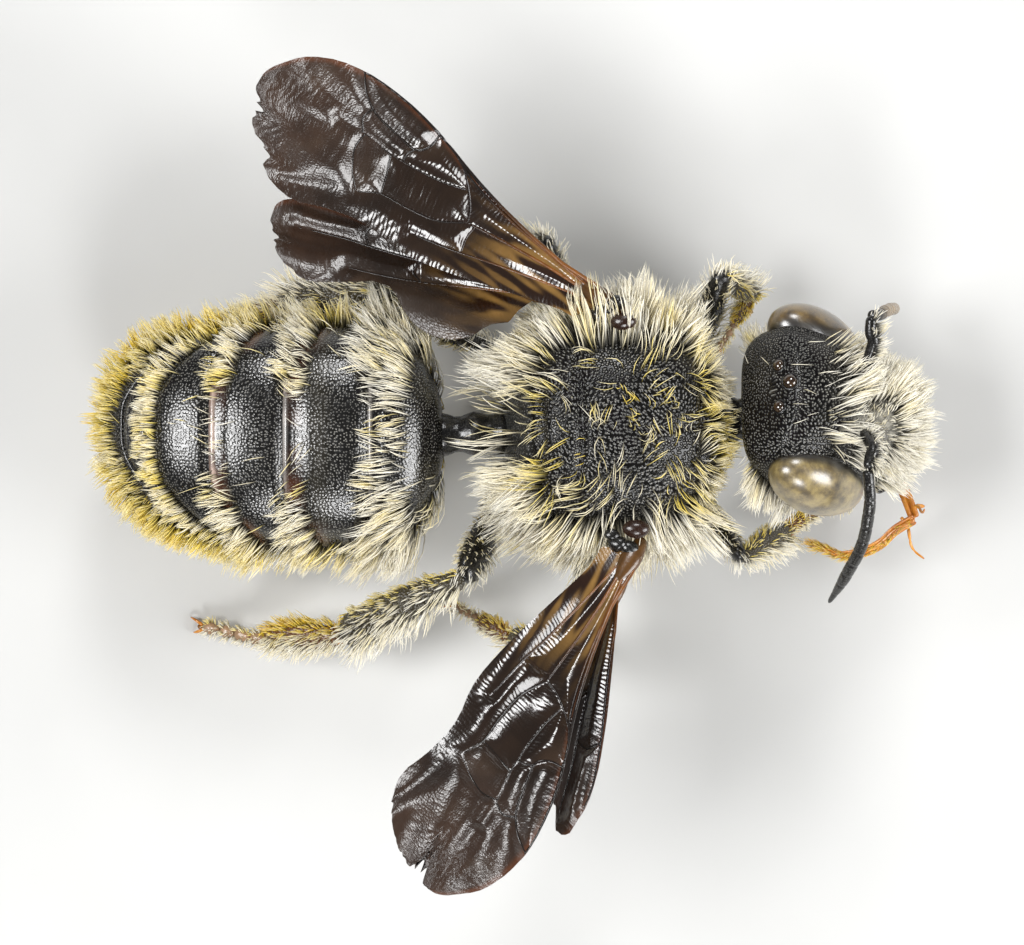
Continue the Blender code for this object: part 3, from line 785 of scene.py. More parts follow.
# (share of the length, half width, half depth) of small limbs
SCAPE = ((0, 0.08, 0.08), (0.12, 0.1, 0.1), (0.6, 0.115, 0.115), (1, 0.1, 0.1))
JAW = ((0, 0.1, 0.1), (0.5, 0.13, 0.1), (0.8, 0.16, 0.08), (1, 0.12, 0.05))
TOOTH = ((0, 0.06, 0.045), (0.6, 0.05, 0.04), (1, 0.015, 0.015))
SHEATH = ((0, 0.075, 0.09), (0.5, 0.055, 0.07), (1, 0.045, 0.05))
TONGUE = ((0, 0.06, 0.06), (0.5, 0.065, 0.05), (0.9, 0.055, 0.04), (1, 0.03, 0.025))
STRAND = ((0, 0.035, 0.02), (0.7, 0.03, 0.014), (1, 0.01, 0.008))


class Head:
    """The head's own axes, from between the CAD eyes: -Y to the face, +Z to the crown."""

    def __init__(self):
        left, right = (node_box("eye_" + side)[0] for side in SIDES)
        self.origin = (left + right) / 2
        across = unit(left - right)
        level = unit(np.cross(across, vec(0, 1, 0)))
        back = np.cross(level, across)
        sine, cosine = math.sin(HEAD_PITCH), math.cos(HEAD_PITCH)
        self.axes = np.array([across, back * cosine + level * sine, level * cosine - back * sine])

    def out(self, points):
        return self.origin + points @ self.axes

    def within(self, points):
        return (points - self.origin) @ self.axes.T


HEAD = Head()


def head_grid(rows=100, columns=150):
    height, width, front, behind = smooth_line(HEAD_STATIONS, rows).T[:, :, None]
    sine, cosine = directions(columns)
    reach = boxy(sine, cosine, mix(HEAD_REAR_POWER, HEAD_FRONT_POWER, ramp(-0.3, 0.3, cosine)))
    depth = np.where(cosine > 0, front, behind)
    local = np.stack([-width * sine * reach, -depth * cosine * reach, height + 0 * sine], -1)
    local[..., 1] -= face_relief(local[..., 0], local[..., 2]) * ramp(0.1, -0.4, local[..., 1])
    return HEAD.out(local)


def face_relief(x, z):
    """How far the face stands forward: the clypeus, and the sockets of the feelers over it."""
    clypeus = 0.16 * ramp(0.85, 0.45, np.abs(x)) * ramp(-0.35, -0.75, z) * ramp(-1.72, -1.4, z)
    edge = -0.04 * bump(0.8, 0.05, np.hypot(x, (z + 1.05) * 1.15))
    from_socket = np.hypot(np.abs(x) - SOCKETS[0], z - SOCKETS[1])
    sockets = 0.05 * bump(0.2, 0.05, from_socket) - 0.14 * bump(0, 0.12, from_socket)
    frontal_line = -0.035 * bump(0, 0.035, x) * ramp(0.75, 0.6, z) * ramp(0.0, 0.1, z)
    beside_eye = -0.05 * bump(1.06, 0.05, np.abs(x) - 0.1 * z)
    return clypeus + edge + sockets + frontal_line + beside_eye


def laid_round(points):
    """Places on the head laid flat round the point over its middle."""
    away = points - HEAD.origin
    level = away * vec(1, 1, 0)
    turn = np.arctan2(np.linalg.norm(level, axis=-1), away[..., 2])
    return unit(level) * (turn * np.linalg.norm(away, axis=-1))[..., None]


def make_head():
    """The head's shell, with the bare patch of its face."""
    grid = head_grid()
    local = HEAD.within(grid)
    x, y, z = np.moveaxis(local, -1, 0)
    from_bald = ((x - BALD[0]) / BALD_SIZE) ** 2 + ((z - BALD[1]) / BALD_SIZE) ** 2
    speckled = mix(0.3, 1, ramp(-0.6, 0.6, wobble(local, 0.07, 61)))
    tint = painted(BLACK, (BALD_GREY, np.exp(-(from_bald**2)) * ramp(0, -0.5, y) * speckled))
    Shape().grid(grid, tint, laid_round(grid)).make("head_shell", "head", "coat", "head")
    return grid


def make_ocelli(skin):
    """The three simple eyes of the crown, each in a rim."""
    ocelli, rims = Shape(), Shape()
    for *place, radius in OCELLI:
        middle, outward = on_skin(skin, vec(*place))
        axes = turned_to(outward)
        ocelli.grid(ball_rings(middle + outward * 0.03, axes, radius * vec(0.75, 1, 1), 16, 24))
        angle = np.linspace(0, math.tau, 32)[:, None]
        ring = radius * 1.12 * (axes[1] * np.cos(angle) + axes[2] * np.sin(angle))
        ring = middle + outward * 0.005 + ring
        rims.grid(tube_rings(ring, 0.03, 0.03, 10, ring - middle), SMOOTH_BLACK)
    ocelli.make("ocelli", "ocellus", "eye")
    rims.make("ocellus_rims", "limb", "shell")


def on_skin(grid, place):
    """(point, outward direction) of the head's shell nearest to that place on the head's own axes."""
    points = grid.reshape(-1, 3)
    closest = np.linalg.norm(HEAD.within(points) - place, axis=1).argmin()
    return points[closest], grid_normals(grid).reshape(-1, 3)[closest]


def turned_to(direction):
    """Three axes of which the first is the direction."""
    direction = unit(direction)
    helper = vec(1, 0, 0) if abs(direction[0]) < 0.8 else vec(0, 1, 0)
    second = unit(np.cross(direction, helper))
    return np.array([direction, second, np.cross(direction, second)])


def make_eye(side):
    """A smooth eye with a dark rim where it meets the head; the left one is browner and darker, its darkness
    painted shade.
    """
    middle, axes, half = fitted("eye_" + side)
    rings = ball_rings(middle, axes, half, 60, 80)
    from_edge = ((rings - middle) @ unit(middle - HEAD.origin)) / half[2]
    # the left eye's darker tone is painted shade
    tint = painted(EYE_RIM, (EYE_TONES_WITH_SHADE[side], ramp(-0.1, 0.2, from_edge)))
    Shape().grid(rings, tint).make("eye_lens_" + side, "eye", "eye", "eye_" + side)


def make_feeler(side):
    """One feeler, in two pieces. Returns the rings of the first, the scape."""
    scape = spine("scape_" + side, 4, near=HEAD.origin)
    flagellum = spine("flagellum_" + side, 8, near=scape[-1])
    meet(scape, flagellum)
    scape[0] = blend(HEAD.origin, scape[0], 0.8)
    rings = limb(scape, SCAPE, 30)
    Shape().grid(rings, SMOOTH_BLACK).make("scape_shell_" + side, "limb", "shell", "scape_" + side)
    make_flagellum(side, smooth_line(flagellum, 170))
    return rings


def make_flagellum(side, line):
    """The feeler's row of short joints, which on the right is drawn in to its tip."""
    share = np.linspace(0, 1, len(line))
    groove = np.abs(np.cos(share * FEELER_JOINTS * math.pi)) ** 24
    drawn_in = ramp(1.05, 0.72, share) if side == "right" else 1.0
    radius = (0.1 + 0.012 * ramp(0, 0.3, share)) * (1 - 0.07 * groove) * mix(0.3, 1, drawn_in)
    radius = radius * rounding(share / 0.02, (1 - share) / 0.035, 0.03)
    tint = painted(SMOOTH_BLACK, (FEELER_TONES[side], ramp(0.08, 0.3, share)), (FEELER_GROOVE, groove * 0.7))
    shape = Shape().grid(tube_rings(line, radius, radius, 28), tint[:, None])
    shape.make("flagellum_shell_" + side, "limb", "shell", "flagellum_" + side)


def make_mandible(side):
    """A broad black jaw with four teeth at its reddish tip."""
    line = spine("mandible_" + side, 4, near=HEAD.origin)
    line = line[0] + (line - line[0]) * JAW_SHARE - HEAD.axes[0] * SIDES[side] * 0.2
    rings = limb(line, JAW, 30, 28, HEAD.axes[2][None] * -1)
    tint = painted(SMOOTH_BLACK, (JAW_RED, ramp(0.5, 1, np.linspace(0, 1, len(rings)))))
    shape = Shape().grid(rings, tint[:, None])
    tip, heading = rings[-2].mean(0), unit(line[-1] - line[-2])
    for place in (-1.5, -0.5, 0.5, 1.5):
        root = tip + HEAD.axes[2] * place * -0.08 - heading * 0.06
        tooth = root + heading * vec(0, 0.07, 0.13)[:, None]
        shape.grid(limb(tooth, TOOTH, 8, 10), tint[-1])
    shape.make("jaw_" + side, "limb", "shell", "mandible_" + side)


def make_mouthparts():
    """The folded tongue: its sheath, the feathery tongue itself, whose rings it returns, and two palps."""
    base = spine("proboscis", 6, near=HEAD.origin)
    tongue = spine("tongue", 8, towards=(0, 1, 0))
    meet(base, tongue)
    across = unit(np.cross(base[-1] - base[0], vec(0, 0, 1)))
    sheath = Shape()
    for shift in (-1, 0, 1):
        strand = base + across * 0.06 * shift - vec(0, 0, 0.05) * (shift == 0)
        sheath.grid(limb(strand, SHEATH, 40, 18), PURE_AMBER)
    sheath.make("tongue_sheath", "amber", "amber", "proboscis")
    rings = limb(tongue, TONGUE, 60, 20)
    strands = Shape().grid(rings, PURE_AMBER)
    for shift in (-1, 1):
        strand = tongue[:6] + vec(0.06, 0.03, 0.05) * shift
        strands.grid(limb(strand, STRAND, 30, 12), PURE_AMBER)
    strands.make("tongue_strands", "amber", "amber", "tongue")
    for name, direction in PALPS.items():
        make_palp(name, smooth_line(spine(name, 6, towards=direction), 70))
    return rings


def make_palp(name, line):
    share = np.linspace(0, 1, len(line))
    radius = (0.04 - 0.022 * share) * (1 - 0.35 * np.abs(np.cos(share * PALP_JOINTS * math.pi)) ** 10)
    rings = tube_rings(line, radius, radius, 14)
    Shape().grid(rings, PURE_AMBER).make(name + "_joints", "amber", "amber", name)


# Abdomen ---------------------------------------------------------------

RINGS, RING_ROWS = 6, 40
SIDE_COAT, TOP_COAT, UNDER_COAT, TAIL_COAT = 0.42, 0.12, 0.26, 0.14  # how deep the hairs are
ABOVE, LIFT = 0.46, 0.1  # share of the height over the middle line, and how far that lies over the CAD one
WIDEST = 0.8  # before the end of the second ring
FRONT_POWER, REAR_POWER, ACROSS_POWER = 4.0, 3.2, 2.3  # how blunt the abdomen is along and across
RING_OVERLAP, RING_STEP = 0.16, 0.1
FIRST_CROWDING = 1.6  # how much the first ring's rows crowd to its start
GOLDEN_SHELLS, GOLDEN_COATS = 4, 3  # ring numbers, from 0, from which shells and hairs are passed the slot name golden_coat
THINNEST, LEAST_SWELL = 0.02, 0.0004  # what keeps the ends of the abdomen open
# (y, how far the sides of a ring there are drawn to the front)
BOWS = ((2.8, 0.0), (4.3, 0.08), (5.8, 0.32), (7.15, 0.72), (8.34, 1.62), (8.78, 1.15), (9.0, 0.0))
BOW_POWER = 3.8  # how much of a bow is at the very sides
RIMS = (  # pale rims of the first rings: colour, how far round, share along, how wide
    ((0.85, 0.78, 0.7), 0.45, 0.968, 0.01),
    ((0.9, 0.84, 0.78), 0.34, 0.966, 0.012),
    ((0.66, 0.50, 0.42), 0.34, 0.945, 0.035),
)
BAND_BROWN, SIDE_BROWN = (0.06, 0.018, 0.006, 0.25), (0.20, 0.075, 0.02, 0.3)
# the first grey here is a painted sheen, laid across the middle of the second ring
RING_SHEEN_GREY, BELLY_BROWN = (0.035, 0.03, 0.02, 0.7), (0.05, 0.025, 0.012, 0.5)


class Abdomen:
    """Sizes and middle line of the bare abdomen, read from the six CAD rings."""

    def __init__(self):
        boxes = [node_box(f"abdomen_{number + 1}") for number in range(RINGS)]
        self.middles, halves = (np.array(part) for part in zip(*boxes))
        self.start = self.middles[0, 1] - halves[0, 1]
        self.ends = self.middles[:, 1] + halves[:, 1]
        self.ends[-1] -= TAIL_COAT
        self.widest = self.ends[1] - WIDEST
        self.half_width = halves[:, 0].max() - SIDE_COAT
        height = halves[:, 2].max() * 2
        self.rise, self.depth = height * ABOVE - TOP_COAT, height * (1 - ABOVE) - UNDER_COAT

    def swell(self, y):
        before = np.clip((self.widest - y) / (self.widest - self.start), 0, 1) ** FRONT_POWER
        after = np.clip((y - self.widest) / (self.ends[-1] - self.widest), 0, 1) ** REAR_POWER
        return np.sqrt(np.clip(1 - before - after, LEAST_SWELL, 1))

    def rings(self, y, inset, columns=150):
        """Rings at each place along the tail, drawn in by inset millimetres. Their sides bow to the front."""
        sine, cosine = directions(columns)
        reach = boxy(sine, cosine, ACROSS_POWER)
        bow = np.interp(y, *np.array(BOWS).T)[:, None]
        y = y[:, None] - bow * np.abs(sine * reach) ** BOW_POWER
        x, z = (np.interp(y, self.middles[:, 1], self.middles[:, axis]) for axis in (0, 2))
        swell, inset = self.swell(y), inset[:, None]
        wide = (self.half_width * swell - inset).clip(THINNEST)
        tall = (np.where(cosine > 0, self.rise, self.depth) * swell - inset).clip(THINNEST)
        return np.stack([x + wide * sine * reach, y, z + LIFT + tall * cosine * reach], -1)


ABDOMEN = Abdomen()


def ring_tint(number, share, columns):
    """The colours of a ring: black and pitted, with a brown band before a rim that is pale along the back,
    and on the second ring a grey band of painted sheen across its middle.
    """
    angle = np.linspace(0, math.tau, columns, endpoint=False)
    share, from_top = np.broadcast_arrays(share[:, None], np.minimum(angle, math.tau - angle))
    patchy = 0.5 + 0.5 * wobble(np.stack([share * 3, from_top * 2], -1), 0.35, 50 + number)
    rimmed, banded = number < len(RIMS), number in (1, 2)
    band = ramp(0.74, 0.86, share) * ramp(0.15, 0.7, from_top + patchy * 0.3)
    sides = ramp(0.75, 1.1, from_top) * ramp(0.5, 0.75, share)
    tint = painted(
        BLACK * vec(1, 1, 1, 0.9),
        (SMOOTH_BLACK, ramp(0.86, 0.93, share) * rimmed),
        (BAND_BROWN, band * banded),
        (SIDE_BROWN, sides * patchy * banded),
        # painted sheen: a grey band across the middle of the second ring
        (RING_SHEEN_GREY, bump(0.62, 0.12, share) * 0.5 * (number == 1)),
    )
    if rimmed:
        colour, reach, place, wide = RIMS[number]
        rim = bump(place, wide, share) * ramp(reach + 0.3, reach, from_top) * mix(0.45, 1.0, patchy)
        tint = painted(tint, ((*colour, 0), rim))
    return painted(tint, (BELLY_BROWN, ramp(1.75, 2.0, from_top)))


def ring_inset(number, share):
    """How far a ring is drawn in along its length: under the one before, in its groove and at its edge."""
    inset = 0.035 * ramp(0.72, 0.85, share)
    if number == 0:
        inset = inset + 0.09 * bump(0.17, 0.06, share)
    else:
        inset = inset + RING_STEP * ramp(0.25, 0, share) - 0.05 * np.sin(math.pi * share)
    if number < RINGS - 1:
        inset = inset + RING_STEP * 0.35 * ramp(0.97, 1.0, share) - 0.02 * bump(0.955, 0.02, share)
    return inset


def make_ring(number, start, end):
    """A ring of shell with a groove before its rolled hind edge. Returns its rows of points."""
    share = np.linspace(0, 1, RING_ROWS)
    place = share**FIRST_CROWDING if number == 0 else share
    y = start + (end - start) * place
    rings = ABDOMEN.rings(y, np.interp(place, share, ring_inset(number, share)))
    shape = Shape().grid(rings, ring_tint(number, place, rings.shape[1]))
    slot = "shell" if number < GOLDEN_SHELLS else "golden_coat"
    shape.make(f"ring_shell_{number + 1}", "ring", slot, f"abdomen_{number + 1}")
    return rings


def make_rings():
    """Six rings, each of which begins under the one before."""
    starts = [ABDOMEN.start, *(ABDOMEN.ends[:-1] - RING_OVERLAP)]
    return [make_ring(*ring) for ring in zip(range(RINGS), starts, ABDOMEN.ends)]


# Legs ------------------------------------------------------------------

# kind: (half width, half depth) of coxa, femur, tibia, first and other tarsus joints
LEG_SIZES = {
    "foreleg": ((0.26, 0.24), (0.23, 0.18), (0.2, 0.16), (0.13, 0.1), (0.09, 0.08)),
    "midleg": ((0.26, 0.24), (0.24, 0.18), (0.23, 0.17), (0.16, 0.11), (0.1, 0.08)),
    "hindleg": ((0.28, 0.26), (0.33, 0.21), (0.34, 0.19), (0.24, 0.12), (0.14, 0.1)),
}
LEG_NODES = {"coxa": 3, "femur": 4, "tibia": 4, "tarsus": 7}  # slabs that each one's line is read from
LEG_STEPS = 60  # along a femur's or a tarsus's line
FIRST_JOINT = 0.55  # of the whole tarsus
TROCHANTER = 0.2  # of the femur's line
TIBIA_BROWN = blend(BLACK, vec(0.07, 0.055, 0.025, 1), 0.6)
FOOT_BROWN, TOE_BROWN = (0.15, 0.06, 0.014, 0.8), (0.42, 0.26, 0.15, 0.3)
PAD_BROWN = (0.3, 0.3, 0.3, 0)

# A claw's line as (aside, ahead, up) from the tip of the foot, then profiles as for other small limbs
HOOK_LINE = ((0.03, 0, 0), (0.09, 0.1, 0.05), (0.13, 0.19, 0.02), (0.14, 0.23, -0.05))
HOOK = ((0, 0.04, 0.035), (0.5, 0.028, 0.025), (1, 0.008, 0.008))
PAD = ((0, 0.04, 0.03), (0.6, 0.05, 0.03), (1, 0.03, 0.02))
SPUR = ((0, 0.022, 0.022), (0.6, 0.018, 0.018), (1, 0.005, 0.005))


class Leg:
    """One leg's joints, read from its four CAD nodes, and the rings of its parts."""

    def __init__(self, name):
        self.name, self.kind = name, name.split("_")[0]
        lines, near = [], node_box("thorax")[0] + vec(0, 0, 0.5)
        for part, count in LEG_NODES.items():
            lines.append(spine(f"{name}_{part}", count, near=near))
            near = lines[-1][-1]
        for first, second in zip(lines, lines[1:]):
            meet(first, second)
        self.coxa, self.femur, self.tibia, tarsus = lines
        self.tarsus = smooth_line(tarsus, LEG_STEPS)
        self.across = unit(np.cross(tarsus[-1] - self.femur[-1], vec(0, 0, 1)))

    def parts(self):
        """(name, rings, tint) of each part of the leg, from the body to the foot."""
        coxa, femur, tibia, first, others = LEG_SIZES[self.kind]
        line = smooth_line(self.femur, LEG_STEPS)
        turn, split = int(LEG_STEPS * TROCHANTER), int(LEG_STEPS * FIRST_JOINT)
        yield "coxa", self.part(self.coxa, coxa, (0.8, 1.0, 0.6)), SMOOTH_BLACK
        yield "trochanter", self.part(line[: turn + 2], femur, (0.7, 0.85, 0.6)), SMOOTH_BLACK
        yield "femur", self.part(line[turn:], femur, (0.45, 1.0, 0.72)), SMOOTH_BLACK
        yield "tibia", self.part(self.tibia, tibia, (0.5, 0.95, 1.0)), TIBIA_BROWN
        yield "first_joint", self.part(self.tarsus[: split + 1], first, (0.7, 1.0, 0.75)), FOOT_BROWN
        edges = np.linspace(split, LEG_STEPS - 1, 5).astype(int)
        for start, end in zip(edges, edges[1:]):
            rings = self.part(self.tarsus[start : end + 1], others, (0.45, 0.8, 1.0), 14)
            yield "small_joint", rings, TOE_BROWN

    def part(self, line, size, shares, rows=30):
        """Rings of a part whose thickness at its start, middle and end is those shares of its size."""
        profile = [(place, size[0] * share, size[1] * share) for place, share in zip((0, 0.5, 1), shares)]
        return limb(line, profile, rows, 24, self.across[None])


def make_leg(name):
    """A leg's shell in one piece, then its claws. Returns the leg and the parts that hairs grow on."""
    leg = Leg(name)
    parts, shell = list(leg.parts()), Shape()
    for _, rings, tint in parts:
        shell.grid(rings, tint)
    shell.make(name + "_shell", "limb", "coat", *(f"{name}_{part}" for part in LEG_NODES))
    make_claws(leg)
    return leg, parts


def make_claws(leg):
    """Two hooks and the pad between them at the tip of the foot, and two spurs at the ankle."""
    claws = Shape()
    toe, heading = leg.tarsus[-1], unit(leg.tarsus[-1] - leg.tarsus[-6])
    ankle, ahead = leg.tibia[-1], unit(leg.tarsus[8] - leg.tibia[-1])
    for side in (-1, 1):
        hook = toe + np.array(HOOK_LINE) @ np.array([leg.across * side, heading, vec(0, 0, 1)])
        claws.grid(limb(hook, HOOK, 16, 12))
    claws.grid(limb(toe + heading * vec(0, 0.07, 0.12)[:, None], PAD, 10, 14), PAD_BROWN)
    for side in (-1, 1):
        spur = [ankle + leg.across * 0.12 * side, ankle + leg.across * 0.16 * side + ahead * 0.28]
        claws.grid(limb(spur, SPUR, 8, 8))
    claws.make(leg.name + "_claws", "amber", "golden_coat")


# Wings -----------------------------------------------------------------

# (along, forward) in millimetres on the wing's own axes, and the width of each vein at its root and tip
FOREWING_VEINS = (
    ((0.1, 0.1), (1.2, 0.28), (2.3, 0.44), (3.3, 0.67), (4.2, 0.98), 0.085, 0.06),
    ((0.2, 0.0), (1.2, 0.14), (2.3, 0.28), (3.3, 0.5), (3.9, 0.78), (4.2, 0.94), 0.07, 0.05),
    ((0.2, -0.04), (1.2, -0.03), (2.2, -0.08), (3.0, -0.15), 0.08, 0.06),
    ((3.0, -0.15), (3.12, 0.1), (3.4, 0.42), (3.66, 0.66), 0.045, 0.04),
    ((0.3, -0.12), (1.2, -0.3), (2.2, -0.52), (3.1, -0.74), (3.8, -0.86), 0.06, 0.035),
    ((2.85, -0.14), (2.88, -0.4), (2.84, -0.66), 0.045, 0.04),
    ((3.0, -0.15), (3.5, -0.42), (4.1, -0.52), (4.65, -0.56), (5.05, -0.76), 0.05, 0.03),
    ((3.34, 0.34), (3.8, 0.22), (4.3, 0.16), (4.9, 0.14), (5.5, 0.2), (6.0, 0.18), 0.045, 0.02),
    ((4.3, 0.92), (4.36, 0.62), (4.56, 0.44), (5.0, 0.5), (5.5, 0.6), (5.85, 0.82), (6.1, 1.16), 0.05, 0.04),
    ((4.56, 0.44), (4.62, 0.3), (4.6, 0.15), 0.045, 0.04),
    ((5.6, 0.64), (5.66, 0.42), (5.5, 0.2), 0.045, 0.035),
    ((4.86, 0.14), (4.74, -0.2), (4.65, -0.56), 0.045, 0.035),
    ((5.46, 0.2), (5.48, -0.14), (5.3, -0.5), (5.05, -0.76), 0.04, 0.025),
    ((4.15, 0.98), (4.5, 1.06), (5.4, 1.23), (6.1, 1.22), 0.07, 0.035),
)
HINDWING_VEINS = (
    ((0.1, 0.04), (1.0, 0.14), (2.0, 0.2), (3.0, 0.3), (3.7, 0.34), (4.6, 0.34), 0.08, 0.03),
    ((0.2, -0.02), (1.0, -0.02), (2.0, -0.08), (2.9, -0.12), (3.8, -0.12), (4.7, -0.18), 0.06, 0.025),
    ((3.3, 0.32), (3.42, 0.1), (3.3, -0.12), 0.045, 0.04),
    ((2.3, -0.1), (2.4, -0.32), (2.2, -0.46), 0.04, 0.035),
    ((0.3, -0.1), (1.2, -0.26), (2.2, -0.46), (3.0, -0.56), (3.6, -0.6), 0.05, 0.025),
)
OUTLINE_PLACES = 240  # along a wing, where its CAD edges are read
FACING = 0.99  # how squarely a face of the CAD plate looks up or down
TIP_MARGIN, VEIN_MARGIN = 0.02, 0.02  # how far the outline and the veins keep from the edge
TEAR_SEEDS = {"left": 35, "right": 36}
TIP_CROWDING = 0.35  # how much closer together a membrane's rows are at its tip
VEIN_STEPS = 14  # rings for each point of a vein
WINGS = {  # veins, rows and columns of the membrane, how deep its tears are, whether it has a greyer lobe
    "forewing": (FOREWING_VEINS, 210, 60, 0.17, 0),
    "hindwing": (HINDWING_VEINS, 160, 40, 0.12, 1),
}
HINGE = ((0, 0.1, 0.1), (0.5, 0.2, 0.12), (1, 0.08, 0.06))  # profile of the thick root of a wing
HINGE_BROWN = (0.10, 0.045, 0.012, 0.2)
VEIN_BLACK, VEIN_AMBER = vec(0.010, 0.006, 0.004, 0.3), vec(0.20, 0.07, 0.010, 0.2)
SMOKE, AMBER, STREAK = vec(0.015, 0.008, 0.0045), vec(0.23, 0.125, 0.034), vec(0.018, 0.007, 0.003)
OUTER_SMOKE, FRONT_RED = (0.045, 0.022, 0.012), (0.10, 0.03, 0.008)
CLOUD_BROWN, LOBE_GREY = (0.05, 0.03, 0.018), (0.028, 0.016, 0.009)


class Wing:
    """A wing's own axes and outline, read from its CAD plate, and the relief and tint of its membrane."""

    def __init__(self, kind, side):
        self.node = f"{kind}_{side}"
        self.veins, self.rows, self.columns, self.tears, self.lobed = WINGS[kind]
        triangles = node_triangles(self.node)
        edges = np.cross(triangles[:, 1] - triangles[:, 0], triangles[:, 2] - triangles[:, 0])
        normal = unit(edges[np.linalg.norm(edges, axis=1).argmax()])
        self.normal = normal * np.sign(normal[2])
        facing = unit(edges) @ self.normal
        upper, lower = triangles[facing > FACING], triangles[facing < -FACING].reshape(-1, 3)
        samples = upper.reshape(-1, 3)
        root = samples[np.linalg.norm(samples - node_box("tegula_" + side)[0], axis=1).argmin()]
        tip = samples[np.linalg.norm(samples - root, axis=1).argmax()]
        self.span = unit(tip - root)
        self.forward = np.cross(self.normal, self.span)
        self.forward = self.forward * (1 if self.forward @ vec(0, -1, 0) > 0 else -1)
        self.root = root - self.normal * ((samples.mean(0) - lower.mean(0)) @ self.normal / 2)
        self.edges = self.outline(upper - self.root)
        self.length = self.edges[0, -1]

    def outline(self, upper):
        """(along, trailing edge, leading edge) at many places along the span."""
        corners = np.stack([upper @ self.span, upper @ self.forward], -1)
        sides = np.concatenate([corners[:, [0, 1]], corners[:, [1, 2]], corners[:, [2, 0]]])
        low, high = sides[..., 0].min(1), sides[..., 0].max(1)
        found = []
        for place in np.linspace(low.min() + TIP_MARGIN, high.max() - TIP_MARGIN, OUTLINE_PLACES):
            crossed = sides[(low <= place) & (high >= place) & (high - low > 1e-9)]
            share = (place - crossed[:, 0, 0]) / (crossed[:, 1, 0] - crossed[:, 0, 0])
            forward = mix(crossed[:, 0, 1], crossed[:, 1, 1], share)
            found.append((place, forward.min(), forward.max()))
        return np.array(found).T

    def smooth_rows(self):
        """The outline at the membrane's rows, which are closer together at the tip."""
        even = np.linspace(0, 1, self.rows)
        share = np.sin(even * math.pi / 2) * TIP_CROWDING + even * (1 - TIP_CROWDING)
        places = np.arange(self.edges.shape[1])
        return [np.interp(share * places[-1], places, row) for row in self.edges]

    def out(self, along, forward, height):
        """Points in space from places on the wing."""
        along, forward, height = (np.asarray(value, float)[..., None] for value in (along, forward, height))
        return self.root + self.span * along + self.forward * forward + self.normal * height

    def vein_distance(self, place):
        """How far each place lies from the nearest vein."""
        closest = np.full(place.shape[:-1], np.inf)
        for *line, _, _ in self.veins:
            for start, end in zip(np.array(line), np.array(line)[1:]):
                step = end - start
                share = np.clip((place - start) @ step / (step @ step), 0, 1)
                away = np.linalg.norm(place - start - share[..., None] * step, axis=-1)
                closest = np.minimum(closest, away)
        return closest

    def relief(self, along, forward):
        """Cells that swell between the veins, long pleats, and wrinkles that fan to the edge."""
        place = np.stack([along, forward], -1)
        reach, far = along / self.length, self.vein_distance(place)
        cells = 0.09 * np.sin(np.minimum(far / 0.32, 1) * math.pi / 2) * ramp(0.02, 0.2, reach)
        pleats = 0.06 * np.sin(forward * 5.0 - along * 0.5 + 0.8) * ramp(0.0, 0.2, reach)
        fan = np.arctan2(forward + 0.1, along - 0.42 * self.length)
        wrinkles = 0.055 * np.sin(fan * 20 + 1.5 * wobble(place, 0.9, 11))
        wrinkles = wrinkles * ramp(0.62, 0.85, reach) * ramp(0.04, 0.25, far)
        ripples = 0.0028 * np.sin(along * 34 + 5 * wobble(place * vec(1, 0.8), 0.35, 12))
        ripples = ripples * ramp(0.25, 0.6, reach) * ramp(0.03, 0.12, far)
        return cells + pleats + wrinkles + ripples - 0.03 * forward**2

    def tint(self, along, forward, from_front):
        """Amber with dark streaks at the root and along the front edge, and pimpled smoky brown beyond."""
        place = np.stack([along, forward], -1)
        lobe = self.lobed * ramp(0.6, 0.95, from_front) * ramp(0.6, 0.5, along / self.length)
        reach = along / self.length + 0.05 * wobble(place, 0.8, 21)
        streaks = ramp(-0.4, 0.3, wobble(place * vec(0.2, 1), 0.13, 23))
        clouds = ramp(0.3, 0.8, wobble(place, 0.7, 22)) * ramp(0.4, 0.6, reach)
        colour = painted(
            SMOKE,
            (painted(AMBER, (STREAK, streaks)), ramp(0.46, 0.12, reach)),
            (OUTER_SMOKE, ramp(0.6, 0.9, reach) * 0.6),
            (FRONT_RED, ramp(0.14, 0.03, from_front) * 0.7),
            (CLOUD_BROWN, clouds * 0.5),
            (LOBE_GREY, lobe * 0.85),
        )
        pimpled = mix(0.12, 0.8, np.maximum(lobe, ramp(0.5, 0.75, reach)))
        return np.concatenate([colour, pimpled[..., None]], -1)

    def torn(self, along, forward, from_front, seed):
        """Places along the wing, drawn back in small tears at its outer edge but not at its front one."""
        place = np.stack([forward, forward * 0], -1)
        tears = np.abs(wobble(place, 0.11, seed)) ** 1.5 + 0.7 * np.abs(wobble(place, 0.5, seed + 1)) ** 3
        return along - self.tears * tears * ramp(0.72, 1.0, along / self.length) * ramp(0.05, 0.6, from_front)


def make_wing(kind, side):
    """A closed, thin membrane with its veins standing out on both faces."""
    wing = Wing(kind, side)
    along, low, high = (row[:, None] for row in wing.smooth_rows())
    share = (1 - np.cos(np.linspace(0, math.pi, wing.columns))) / 2
    forward = low + (high - low) * share
    along, from_front = along + 0 * share, high - forward
    height, tint = wing.relief(along, forward), wing.tint(along, forward, from_front)
    thin = mix(0.012, 0.03, ramp(0.25, 0, along / wing.length))
    torn = wing.torn(along, forward, from_front, TEAR_SEEDS[side])
    top, bottom = wing.out(torn, forward, height + thin), wing.out(torn, forward, height - thin)
    faces = (top, bottom), (tint, tint)
    rings, tints = (np.concatenate([above, below[:, ::-1]], 1) for above, below in faces)
    if np.cross(wing.normal, wing.span) @ wing.forward > 0:
        rings, tints = rings[:, ::-1], tints[:, ::-1]
    Shape().grid(rings, tints).make(wing.node + "_membrane", "wing", "wing", wing.node)
    make_veins(wing)


